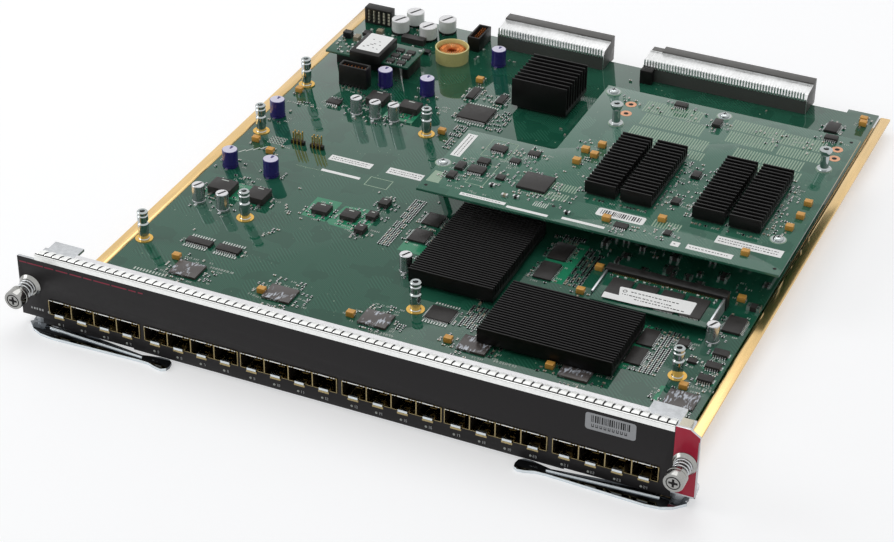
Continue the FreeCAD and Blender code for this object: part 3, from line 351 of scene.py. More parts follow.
FINISHES = {
    # name: display colour, roughness, metallic, grain size, stretch, shade, roughness spread, relief
    "zinc": ((196, 199, 202), 0.34, 1.0, 2.2, (1, 1, 1), 0.10, 0.10, 0.004),
    "yellow_zinc": ((228, 194, 136), 0.24, 0.95, 3.0, (1, 0.1, 1), 0.09, 0.09, 0.004),
    "dark_skin": ((38, 36, 37), 0.42, 0.0, 0.35, (1, 1, 1), 0.10, 0.06, 0.006),
    "red_skin": ((186, 8, 54), 0.36, 0.0, 0.35, (1, 1, 1), 0.06, 0.06, 0.006),
    "ivory": ((226, 220, 200), 0.42, 0.0, 0.6, (1, 1, 1), 0.06, 0.06, 0.01),
    "spring_steel": ((196, 198, 200), 0.22, 1.0, 1.4, (0.25, 1, 1), 0.08, 0.08, 0.003),
    "nickel": ((160, 160, 157), 0.16, 1.0, 0.8, (1, 1, 1), 0.08, 0.08, 0.003),
    "cage_metal": ((168, 152, 112), 0.24, 1.0, 0.9, (1, 1, 1), 0.2, 0.10, 0.004),
    "black_plastic": ((26, 25, 24), 0.38, 0.0, 0.4, (1, 1, 1), 0.14, 0.08, 0.008),
    "post_metal": ((178, 184, 184), 0.10, 1.0, 0.8, (1, 1, 0.3), 0.08, 0.07, 0.003),
    "black_anodised": ((14, 13, 13), 0.36, 0.0, 0.5, (1, 1, 1), 0.15, 0.08, 0.008),
    "chip_epoxy": ((52, 50, 49), 0.40, 0.0, 0.3, (1, 1, 1), 0.14, 0.08, 0.008),
    "purple_sleeve": ((48, 38, 118), 0.12, 0.0, 1.5, (1, 1, 1), 0.10, 0.06, 0.004),
    "can_aluminium": ((186, 187, 190), 0.24, 1.0, 1.0, (1, 1, 1), 0.08, 0.07, 0.004),
    "pale_sleeve": ((236, 237, 236), 0.35, 0.0, 1.2, (1, 1, 1), 0.05, 0.06, 0.004),
    "tantalum_epoxy": ((217, 160, 74), 0.40, 0.0, 0.4, (1, 1, 1), 0.10, 0.07, 0.006),
    "choke_plastic": ((222, 208, 140), 0.34, 0.0, 0.8, (1, 1, 1), 0.08, 0.07, 0.006),
    "copper_wire": ((198, 120, 66), 0.30, 0.8, 0.5, (1, 1, 1), 0.14, 0.08, 0.01),
    "shield_metal": ((232, 233, 233), 0.34, 1.0, 1.2, (1, 0.3, 1), 0.08, 0.09, 0.003),
    "housing_grey": ((82, 81, 79), 0.40, 0.0, 0.5, (1, 1, 1), 0.10, 0.08, 0.008),
    # finishes of small pieces that only the looks carry
    "solder": ((206, 208, 208), 0.30, 1.0, 0.4, (1, 1, 1), 0.10, 0.10, 0.01),
    "gold_contact": ((222, 178, 92), 0.26, 1.0, 0.6, (1, 1, 1), 0.10, 0.08, 0.004),
    "bare_copper": ((214, 160, 128), 0.34, 0.9, 0.8, (1, 1, 1), 0.12, 0.10, 0.004),
    "white_ink": ((206, 214, 206), 0.55, 0.0, 0.3, (1, 1, 1), 0.08, 0.06, 0.0),
    "paper_label": ((250, 251, 250), 0.50, 0.0, 0.8, (1, 1, 1), 0.03, 0.06, 0.002),
    "grey_label": ((178, 180, 183), 0.42, 0.0, 0.8, (1, 1, 1), 0.04, 0.06, 0.002),
    "black_ink": ((24, 24, 25), 0.50, 0.0, 0.3, (1, 1, 1), 0.15, 0.06, 0.0),
    "panel_ink": ((196, 198, 198), 0.50, 0.0, 0.3, (1, 1, 1), 0.06, 0.06, 0.0),
    "red_ink": ((150, 20, 56), 0.45, 0.0, 0.3, (1, 1, 1), 0.10, 0.06, 0.0),
    "ceramic_tan": ((150, 138, 116), 0.40, 0.0, 0.3, (1, 1, 1), 0.14, 0.08, 0.008),
    "resistor_black": ((24, 24, 26), 0.30, 0.0, 0.3, (1, 1, 1), 0.15, 0.08, 0.008),
    "led_lens": ((178, 182, 176), 0.20, 0.0, 0.4, (1, 1, 1), 0.08, 0.05, 0.002),
    "pale_mask": ((150, 176, 152), 0.30, 0.0, 0.8, (1, 1, 1), 0.08, 0.06, 0.004),
    "bright_mask": ((44, 140, 102), 0.12, 0.0, 1.2, (1, 1, 1), 0.10, 0.06, 0.004),
    # the next finish is near-black metal for the insides of the ports: painted shade
    "port_shade_metal": ((26, 22, 17), 0.34, 0.4, 0.7, (1, 1, 1), 0.25, 0.10, 0.006),
    # the next finish is a paler zinc for front faces that catch the light: painted highlight
    "lit_zinc_edge": ((220, 227, 231), 0.28, 1.0, 2.0, (1, 1, 1), 0.05, 0.06, 0.002),
    "bright_zinc": ((104, 108, 112), 0.08, 1.0, 4.0, (0.3, 1, 1), 0.06, 0.04, 0.001),
    # the next two finishes are pale tops, white and lavender: painted light on tops that face the lamps
    "lit_top": ((226, 226, 228), 0.30, 0.6, 0.6, (1, 1, 1), 0.06, 0.06, 0.004),
    "lit_lavender_top": ((222, 219, 240), 0.30, 0.0, 0.6, (1, 1, 1), 0.06, 0.06, 0.004),
    "finger_steel": ((244, 245, 243), 0.30, 1.0, 1.4, (1, 1, 1), 0.06, 0.08, 0.003),
    # the next finish is near black for holes, recesses and gaps: painted shade
    "recess_shade": ((12, 12, 12), 0.60, 0.0, 0.5, (1, 1, 1), 0.2, 0.05, 0.004),
}


DARK_SHINE = 0.22                          # specular level of black skins, coatings and mouldings
DARK_LIMIT = 60                            # brightest display value that counts as dark
LID, SCRATCH = linear(78, 72, 70), linear(196, 202, 212)
PLATED_HOLE = linear(120, 146, 124)


def board_mask(name, laminate, copper, pitch, via_share):
    """Mirror-glossy solder mask over close parallel copper runs, poured areas and plated holes."""
    finish = Finish(name, laminate, 0.03, specular=0.42)
    gap = 0.55                                 # level of a wave above which there is copper
    patch = finish.node("ShaderNodeSeparateColor", {"Color": finish.cells(13, "Color", "CHEBYCHEV", 0.9)})
    choice, kind = patch.outputs[0], patch.outputs[1]
    across = finish.math("GREATER_THAN", finish.bands(pitch, "X"), gap)
    along = finish.math("GREATER_THAN", finish.bands(pitch, "Y"), gap)
    slanted = finish.math("GREATER_THAN", finish.bands(pitch * 1.4, "DIAGONAL"), gap)
    straight = finish.mixed(finish.math("GREATER_THAN", choice, 0.5), (1, 1, 1), (0, 0, 0))
    runs = finish.mixed(straight, across, along)
    runs = finish.mixed(finish.math("GREATER_THAN", kind, 0.72), runs, slanted)
    bare = finish.math("LESS_THAN", kind, 0.30)
    runs = finish.mixed(bare, runs, (0, 0, 0))
    poured = finish.ranged(finish.noise(30, 1.0), 0.0, 0.6, 0.56, 0.62)
    runs = finish.mixed(poured, runs, (0.5, 0.5, 0.5))
    shade = finish.mixed(runs, laminate, copper)
    hole = finish.math("LESS_THAN", finish.cells(2.6, "Distance", spread=0.9), 0.11)
    crowd = finish.math("LESS_THAN", finish.noise(17, 2.0), via_share)
    shade = finish.mixed(finish.math("MULTIPLY", hole, crowd), shade, PLATED_HOLE)
    finish.set("Base Color", shade)
    finish.set("Roughness", finish.ranged(finish.noise(9, 2.0), 0.015, 0.04, 0.3, 0.7))
    finish.bump(runs, 0.03, 0.004)


def speckled_lid(name):
    """Brown-grey package top with a silvery cloud of fine scratches."""
    finish = Finish(name, LID, 0.36)
    cloud = finish.ranged(finish.noise(7, 1.0), 0.0, 1.0, 0.46, 0.58)
    flecks = finish.ranged(finish.noise(1.1, 3.0, (1, 0.3, 1)), 0.0, 1.0, 0.50, 0.58)
    share = finish.math("MULTIPLY", cloud, flecks)
    finish.set("Base Color", finish.mixed(share, LID, SCRATCH))
    finish.set("Roughness", finish.ranged(share, 0.36, 0.18))
    finish.bump(share, 0.5, 0.01)


def all_finishes(colours):
    for name, row in FINISHES.items():
        colour, roughness, metallic, size, stretch, shade, spread, relief = row
        shine = DARK_SHINE if max(colour) < DARK_LIMIT and not metallic else 0.5
        Finish(name, linear(*colour), roughness, metallic, shine).worn(size, stretch, shade, spread, relief)
    board_mask("solder_mask", tuple(colours.board), tuple(colours.board_copper), 0.95, 0.40)
    speckled_lid("speckled_lid")
    board_mask("daughter_mask", tuple(colours.daughter), tuple(colours.daughter_copper), 0.8, 0.5)


# ---------------------------------------------------------------- settings
class LineCardStage(bpy.types.PropertyGroup):
    """Camera, floor and light."""

    camera_place: FloatVectorProperty(name="Camera place", description="Where the camera stands", size=3,
                                      subtype="TRANSLATION", unit="LENGTH",
                                      default=(0.44274, -1.072605, 0.72399))
    elevation: FloatProperty(name="Elevation", description="How far the camera looks down", subtype="ANGLE",
                             default=math.radians(35.126))
    azimuth: FloatProperty(name="Azimuth",
                           description="How far the camera is turned left of the panel's normal",
                           subtype="ANGLE", default=math.radians(23.279))
    roll: FloatProperty(name="Roll", description="Tilt of the camera about its own axis", subtype="ANGLE",
                        default=math.radians(1.003))
    lens: FloatProperty(name="Lens", description="Focal length", subtype="DISTANCE_CAMERA", default=93.01)
    shift_x: FloatProperty(name="Shift X", description="Sideways shift of the lens", default=-0.0133)
    shift_y: FloatProperty(name="Shift Y", description="Upward shift of the lens", default=0.0960)
    floor: FloatVectorProperty(name="Floor", description="Colour of the floor", subtype="COLOR",
                               default=linear(214, 215, 217))
    glow: FloatProperty(name="Floor glow", description="White that the floor shows besides the light on it",
                        default=0.45)
    sky: FloatProperty(name="Sky", description="Strength of the even light from all round", default=0.42)
    overhead: FloatProperty(name="Overhead lamp", description="Power of the large lamp above",
                            subtype="POWER",
                            default=7.6)
    key: FloatProperty(name="Side lamp", description="Power of the lamp to the left", subtype="POWER",
                       default=5.5)


class LineCardColours(bpy.types.PropertyGroup):
    """Colours of the two boards."""

    board: FloatVectorProperty(name="Board", description="Solder mask over bare laminate", subtype="COLOR",
                               default=linear(26, 82, 63))
    board_copper: FloatVectorProperty(name="Board copper", description="Solder mask over copper",
                                      subtype="COLOR",
                                      default=linear(40, 98, 77))
    daughter: FloatVectorProperty(name="Upper board", description="Upper board's mask over laminate",
                                  subtype="COLOR",
                                  default=linear(40, 98, 78))
    daughter_copper: FloatVectorProperty(name="Upper board copper",
                                         description="Upper board's mask over copper",
                                         subtype="COLOR", default=linear(64, 118, 97))


# ---------------------------------------------------------------- operators
class LINECARD_OT_stage(bpy.types.Operator):
    """Set up the camera, the floor and the light"""

    bl_idname = "linecard.stage"
    bl_label = "Stage"

    def execute(self, context):
        settings = context.scene.linecard_stage
        self.camera(context, settings)
        self.floor(settings)
        self.world(context, settings)
        self.lamp("overhead_lamp", (-0.15, 0.35, 1.5), (0, 0.02, 0), 1.5, settings.overhead)
        self.lamp("side_lamp", (-1.5, -0.5, 0.9), (0, 0, 0), 0.9, settings.key)
        context.scene.view_settings.view_transform = "Standard"
        return {"FINISHED"}

    def camera(self, context, settings):
        elevation, azimuth, roll = settings.elevation, settings.azimuth, settings.roll
        forward = Vector((-math.sin(azimuth) * math.cos(elevation), math.cos(azimuth) * math.cos(elevation),
                          -math.sin(elevation)))
        level = Vector((math.cos(azimuth), math.sin(azimuth), 0))
        upright = level.cross(forward)
        right = level * math.cos(roll) + upright * math.sin(roll)
        up = right.cross(forward)
        turned = Matrix((right, up, -forward)).transposed().to_4x4()
        data = bpy.data.cameras.new("camera")
        data.lens = settings.lens
        data.shift_x, data.shift_y = settings.shift_x, settings.shift_y
        data.clip_end = 20
        camera = bpy.data.objects.new("camera", data)
        camera.matrix_world = Matrix.Translation(settings.camera_place) @ turned
        context.scene.collection.objects.link(camera)
        context.scene.camera = camera

    def floor(self, settings):
        finish = Finish("floor_paper", tuple(settings.floor), 0.5, specular=0.2)
        finish.set("Roughness", finish.ranged(finish.noise(30), 0.45, 0.6))
        path = finish.node("ShaderNodeLightPath")
        seen = finish.math("MAXIMUM", path.outputs["Is Camera Ray"], path.outputs["Is Glossy Ray"])
        finish.surface.inputs["Emission Color"].default_value = (1, 1, 1, 1)
        finish.set("Emission Strength", finish.math("MULTIPLY", seen, settings.glow))
        half = 6.0
        mesh = bpy.data.meshes.new("floor")
        mesh.from_pydata([(-half, -half, 0), (half, -half, 0), (half, half, 0), (-half, half, 0)], [],
                         [(0, 1, 2, 3)])
        mesh.materials.append(finish.material)
        floor = bpy.data.objects.new("floor", mesh)
        bpy.context.scene.collection.objects.link(floor)
        floor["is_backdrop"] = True

    def world(self, context, settings):
        world = bpy.data.worlds.new("studio")
        context.scene.world = world
        world.use_nodes = True
        tree = world.node_tree
        tree.nodes.clear()
        path = tree.nodes.new("ShaderNodeLightPath")

        def either(first, second):
            node = tree.nodes.new("ShaderNodeMath")
            node.operation = "MAXIMUM"
            tree.links.new(first, node.inputs[0])
            tree.links.new(second, node.inputs[1])
            return node.outputs[0]

        mirrored = either(path.outputs["Is Glossy Ray"], path.outputs["Is Transmission Ray"])
        mix, output = tree.nodes.new("ShaderNodeMixShader"), tree.nodes.new("ShaderNodeOutputWorld")
        tree.links.new(either(path.outputs["Is Camera Ray"], mirrored), mix.inputs[0])
        for socket, strength in ((1, settings.sky), (2, 1.0)):
            background = tree.nodes.new("ShaderNodeBackground")
            background.inputs["Color"].default_value = (1, 1, 1, 1)
            background.inputs["Strength"].default_value = strength
            tree.links.new(background.outputs[0], mix.inputs[socket])
        tree.links.new(mix.outputs[0], output.inputs[0])

    def lamp(self, name, place, aim, size, power):
        data = bpy.data.lights.new(name, "AREA")
        data.shape, data.size, data.energy = "DISK", size, power
        lamp = bpy.data.objects.new(name, data)
        lamp.location = place
        lamp.rotation_euler = (Vector(aim) - Vector(place)).to_track_quat("-Z", "Y").to_euler()
        bpy.context.scene.collection.objects.link(lamp)


class LINECARD_OT_finishes(bpy.types.Operator):
    """Make every material and give each solid of the card its own"""

    bl_idname = "linecard.finishes"
    bl_label = "Finishes"

    def execute(self, context):
        all_finishes(context.scene.linecard_colours)
        own = {"daughter_board": "daughter_mask", "ejector_lever_left": "bright_zinc",
               "ejector_lever_right": "bright_zinc", "phy_chips": "speckled_lid"}
        for name, solid in frame["nodes"].items():
            solid.data.materials.clear()
            solid.data.materials.append(finish_called(own.get(name, SLOTS[name])))
        return {"FINISHED"}


ROUND_NODES = {"purple_capacitors", "silver_capacitors", "filter_capacitors", "spacer_posts",
               "daughter_posts",
               "daughter_screws", "choke_case", "choke_winding", "screw_spring_left", "screw_spring_right",
               "screw_washer_left", "screw_washer_right", "captive_screw_left", "captive_screw_right",
               "screw_collars", "emi_gasket_strip"}
UNSEEN_NODES = {"port_connectors", "tray_standoffs", "lever_pivots"}
EDGE_ANGLE = math.radians(25)


def body_of(node):
    bodies = frame["record"]["behaviour"]["bodies"]
    return next(body for body, nodes in bodies.items() if node in nodes)


def softened(node, width):
    """The solid again, with every edge rounded over by width millimetres so that it catches the light."""
    source = frame["nodes"][node]
    work = bmesh.new()
    work.from_mesh(source.data)
    bmesh.ops.remove_doubles(work, verts=work.verts, dist=1e-6)
    bmesh.ops.dissolve_limit(work, angle_limit=math.radians(1), verts=work.verts, edges=work.edges)
    sharp = [e for e in work.edges if len(e.link_faces) == 2 and e.calc_face_angle(0) > EDGE_ANGLE]
    bmesh.ops.bevel(work, geom=sharp, offset=width * MM, offset_type="OFFSET", segments=2, profile=0.5,
                    affect="EDGES", clamp_overlap=True)
    mesh = bpy.data.meshes.new(node + "_rounded")
    work.to_mesh(mesh)
    work.free()
    mesh.materials.append(source.data.materials[0])
    # the levers' front faces in a paler zinc: painted highlight on the front rim
    if node.startswith("ejector_lever"):  # bright front rim
        mesh.materials.append(finish_called("lit_zinc_edge"))
        for face in mesh.polygons:
            face.material_index = int(face.normal.y < -0.25 and abs(face.normal.z) < 0.9)
    mesh.shade_smooth()
    mesh.set_sharp_from_angle(angle=math.radians(40))
    made = bpy.data.objects.new(node + "_rounded", mesh)
    bpy.context.scene.collection.objects.link(made)
    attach(made, body_of(node))
    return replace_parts(made, node)


class LINECARD_OT_edges(bpy.types.Operator):
    """Round over the edges of the sheet metal, packages, heat sinks and connectors"""

    bl_idname = "linecard.edges"
    bl_label = "Rounded edges"

    def execute(self, context):
        fine = {"panel_overlay": 0.08, "end_overlay": 0.08, "daughter_heatsinks": 0.12}
        for node in sorted(set(frame["nodes"]) - ROUND_NODES - UNSEEN_NODES):
            softened(node, fine.get(node, 0.06 if node.startswith("port_cage") else 0.18))
        return {"FINISHED"}


# ---------------------------------------------------------------- panel
SEGMENTS = {  # bars of a plain digit: top, upper left and right, middle, lower left and right, bottom
    "0": "1110111", "1": "0010010", "2": "1011101", "3": "1011011", "4": "0111010",
    "5": "1101011", "6": "1101111", "7": "1010010", "8": "1111111", "9": "1111011"}


def strokes(text, left, low, height, thick=0.15):
    """The bars of a plain number: ((left, right), (low, high)) pairs in its own plane."""
    width, line = height * 0.5, height * thick
    for digit in text:
        right, middle, top = left + width, low + height / 2, low + height
        bars = [((left, right), (top - line, top)), ((left, left + line), (middle, top)),
                ((right - line, right), (middle, top)),
                ((left, right), (middle - line / 2, middle + line / 2)),
                ((left, left + line), (low, middle)), ((right - line, right), (low, middle)),
                ((left, right), (low, low + line))]
        yield from (bar for shown, bar in zip(SEGMENTS[digit], bars) if shown == "1")
        left += width + line * 2


def panel_number(shapes, text, x, z, height):
    """A plain number printed upright on the panel, centred on x."""
    thick = 0.14
    line = height * thick
    left = x - ((height * 0.5 + line * 2) * len(text) - line * 2) / 2
    for across, up in strokes(text, left, z, height, thick):
        shapes.box(across, ON_PANEL, up)


def dashes(draw, start, end, lengths, gaps):
    """Runs of uneven length from one place up to another."""
    while start < end:
        length = draw.uniform(*lengths)
        yield start, start + length
        start += length + draw.uniform(*gaps)


def paces(start, end, step):
    """Places a step apart, up to an end."""
    while start < end:
        yield start
        start += step


def bar_code(shapes, draw, x, y, z, widths, gaps, kind):
    """Upright bars of uneven width between two places along X."""
    place = x[0]
    while place < x[1]:
        width = draw.choice(widths)
        shapes.box((place, place + width), y, z, kind)
        place += width + draw.choice(gaps)


def rounded(x, y, radius):
    """A rectangle with round corners, anticlockwise, from two (low, high) pairs."""
    points = []
    for cx, cy, start in ((x[1] - radius, y[0] + radius, -90), (x[1] - radius, y[1] - radius, 0),
                          (x[0] + radius, y[1] - radius, 90), (x[0] + radius, y[0] + radius, 180)):
        for turn in (math.radians(start + 18 * step) for step in range(6)):
            points.append((cx + radius * math.cos(turn), cy + radius * math.sin(turn)))
    return points


def ports():
    """Middle X of every port, from the cages' solids."""
    places = []
    for cage in range(1, 7):
        low, high = span(f"port_cage_{cage}")
        pitch = (high.x - low.x - 0.3) / 4
        places += [low.x + 0.15 + pitch * (n + 0.5) for n in range(4)]
    return places


class LINECARD_OT_panel_print(bpy.types.Operator):
    """Print the panel: port numbers, lamp rings, the coloured line and the code label"""

    bl_idname = "linecard.panel_print"
    bl_label = "Panel print"

    def execute(self, context):
        draw = random.Random(3)
        ink, lamps, line, edges = Shapes(), Shapes(), Shapes(), Shapes()
        for index, x in enumerate(ports(), 1):
            panel_number(ink, str(index), x + 0.6, 4.2, 1.7)
            lamps.turned_forward(x - 1.7, 5.0, [(0.7, 0.0), (0.7, -0.12), (0.4, -0.25)], 14)
        for n in range(5):
            x = -190.0 + 1.7 * n
            ink.box((x, x + draw.uniform(0.7, 1.3)), ON_PANEL, (11.0, 12.3))
        ink.made("panel_numbers", ["panel_ink"])
        lamps.turned_forward(-178.4, 11.4, [(1.0, 0.0), (1.0, -0.15), (0.6, -0.3)], 16)
        lamps.made("port_lamps", ["led_lens"], smooth=math.radians(50))
        line_end = -117.5
        for start, end in dashes(draw, -194.5, line_end - 0.5, (4, 11), (0.6, 1.6)):
            line.box((start, min(end, line_end)), ON_PANEL, (40.4, 41.1))
        line.made("panel_colour_line", ["red_ink"])
        low, high = span("end_overlay")
        edges.box((high.x - 0.5, high.x), ON_PANEL, (low.z, high.z - 6))
        edges.box((low.x, high.x), ON_PANEL, (low.z, low.z + 0.7))
        edges.made("end_sheet_edges", ["zinc"])
        self.label(draw)
        return {"FINISHED"}

    def label(self, draw):
        """A pale label with bars above and a row of open boxes below."""
        label = Shapes()
        over = (-2 * PRINT, -PRINT)
        label.front_slab(rounded((135.8, 162.8), (31.8, 42.0), 1.6), ON_PANEL)
        bar_code(label, draw, (139.0, 159.6), over, (36.6, 40.8), (0.25, 0.4, 0.7), (0.35, 0.5, 0.8), 1)
        base, foot, crown, pitch, width, line = 33.6, 34.1, 35.5, 2.2, 1.3, 0.3
        for n in range(9):
            left = 139.2 + pitch * n
            label.box((left, left + width), over, (base, foot), 1)
            label.box((left, left + line), over, (foot, crown), 1)
            label.box((left + width - line, left + width), over, (foot, crown), 1)
        label.made("panel_label", ["grey_label", "black_ink"])


class LINECARD_OT_ports(bpy.types.Operator):
    """Fit each port with its contact fingers, side springs and latch flap, dark linings of painted shade and
    small gold bars of painted glint
    """

    bl_idname = "linecard.ports"
    bl_label = "Ports"

    def execute(self, context):
        low, high = span("port_cage_1")
        floor, top, nose = low.z + 0.9, high.z, -0.5
        lining, back, wall_place = (0.9, 30), 13.0, 6.95
        springs, insides = Shapes(), Shapes()
        METAL, PLASTIC, GOLD_AND_GLINT, PORT_SHADE = range(4)
        for x in ports():
            # the tab under each port in a paler zinc: painted highlight on its front face
            springs.box((x - 2.7, x + 2.7), (-2.06, -0.6), (floor + 0.5, floor + 1.9), 2)
            # dark linings on the side walls, floor and roof of each port: painted shade inside the cage
            for side in (-1, 1):
                wall = tuple(sorted((x + side * 6.55, x + side * 6.75)))
                insides.box(wall, lining, (floor + 0.1, top - 0.5), PORT_SHADE)
            for heights in ((floor + 0.02, floor + 0.14), (top - 0.62, top - 0.5)):
                insides.box((x - 6.5, x + 6.5), lining, heights, PORT_SHADE)
            springs.box((x - 3.6, x + 2.8), (nose - 0.45, nose + 0.1), (top - 0.05, top + 0.4))
            # small gold bars floating inside the port: painted glints
            for offset, height in ((-3.4, 4.6), (-1.0, 5.4), (1.9, 4.2), (4.4, 5.0)):
                insides.box((x + offset, x + offset + 0.9), (4.5, 4.8),
                            (floor + height, floor + height + 0.3),
                            GOLD_AND_GLINT)
            for offset in (-6.2, -4.9, 4.2, 5.6):
                springs.box((x + offset - 0.45, x + offset + 0.45), (nose - 0.35, nose),
                            (top - 0.1, top + 0.25))
            for side in (-1, 1):
                wall = x + side * wall_place
                springs.box((wall - 0.12, wall + 0.12), (nose - 0.08, nose + 0.3), (floor + 0.6, top - 0.3),
                            1)
                # side spring: a strip bowed in from the wall, its body dark as painted shade and its top edge
                # plain cage metal
                bowed = wall - side * 1.25
                line = [(wall, nose + 0.6), (bowed, 5.0), (bowed, 6.6), (wall, back)]
                outline = line + [(px - side * 0.18, py) for px, py in line][::-1]
                outline = outline if side < 0 else outline[::-1]
                insides.slab(outline, (floor + 2.2, floor + 6.0), PORT_SHADE)
                insides.slab(outline, (floor + 6.0, floor + 6.25), METAL)
            self.flap(insides, x, floor)
            insides.box((x - 5.0, x + 5.0), (16.5, 17.2), (floor + 1.0, floor + 6.4), PLASTIC)
            insides.box((x - 4.6, x + 4.6), (15.0, 16.5), (floor + 3.1, floor + 3.9), GOLD_AND_GLINT)
        springs.made("port_contact_fingers", ["finger_steel", "cage_metal", "lit_zinc_edge"])
        insides.made("port_springs", ["cage_metal", "black_plastic", "gold_contact", "port_shade_metal"])
        return {"FINISHED"}

    def flap(self, shapes, x, floor):
        """Latch flap: two sloping bars back from the tab, then the bar that joins them."""
        front, back, rise, half, thick = -0.4, 5.6, 2.6, 0.2, 0.3
        for side in (-1, 1):
            shapes.loft([[(px - half, y, z), (px + half, y, z), (px + half, y, z + thick),
                          (px - half, y, z + thick)]
                         for px, y, z in ((x + side * 3.0, front, floor),
                                          (x + side * 1.7, back, floor + rise))])
        shapes.box((x - 2.0, x + 2.0), (back - 0.1, back + 0.8), (floor + rise, floor + rise + 0.35))


class LINECARD_OT_gasket(bpy.types.Operator):
    """Form the contact strip: a folded lip and a row of crowned fingers, with painted shade at their root and
    in the gaps
    """

    bl_idname = "linecard.gasket"
    bl_label = "Contact strip"

    def execute(self, context):
        low, high = span("emi_gasket_strip")
        flange = span("faceplate")[1].z - 2.1
        count = round((high.x - low.x) / 4.83)
        pitch, sheet, root, top = (high.x - low.x) / count, 0.3, 1.8, high.z
        strip = Shapes()
        strip.box((low.x, high.x), (low.y, low.y + sheet), (low.z, top - sheet))
        strip.box((low.x, high.x), (low.y, root), (top - 0.45, top - 0.12))
        drop = top - flange - 0.5
        course = [(root + 0.25, -0.35), (2.5, 0.0), (3.6, -0.05), (5.2, -0.25 * drop), (6.8, -0.62 * drop),
                  (high.y, -drop)]  # (Y, rise) along the crown of a finger
        for finger in range(count):
            x = low.x + (finger + 0.5) * pitch
            rings = []
            for y, rise in course:
                half = pitch / 2 - 0.35 - 0.5 * (y - root) / (high.y - root)
                under, middle, over = (top - sheet + rise + sheet * share for share in (0, 0.5, 1))
                rings.append([(x - half, y, under), (x + half, y, under), (x + half, y, middle),
                              (x + half - 0.5, y, over), (x - half + 0.5, y, over), (x - half, y, middle)])
            strip.loft(rings)
        # dark strip at the fingers' root, ticks through the lip and pieces between the fingers: painted shade
        # under and between the bowed fingers
        strip.box((low.x, high.x), (root - 1.0, root - 0.1), (top - 0.5, top - 0.05), 1)
        for pair in range(1, count // 2):
            x = low.x + pair * 2 * pitch
            strip.box((x - 0.16, x + 0.16), (root - 0.1, root + 0.6), (top - 0.5, top - 0.04), 1)
        for edge in range(1, count):
            left, right = low.x + edge * pitch - 0.75, low.x + edge * pitch + 0.75
            strip.loft([[(left, y, top - 0.55 + rise), (right, y, top - 0.55 + rise),
                         (right, y, top - 0.3 + rise), (left, y, top - 0.3 + rise)] for y,
                        rise in course[1:-1]], 1)
        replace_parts(strip.made("contact_strip", ["finger_steel", "recess_shade"]), "emi_gasket_strip")
        # a pale layer over the panel's top flange: painted light where the flange shows bright
        land = Shapes()
        land.box((-164.8, 164.8), (high.y - 0.3, 11.9), (flange - 0.5, flange + 0.06))
        land.made("flange_land", ["lit_top"])
        return {"FINISHED"}


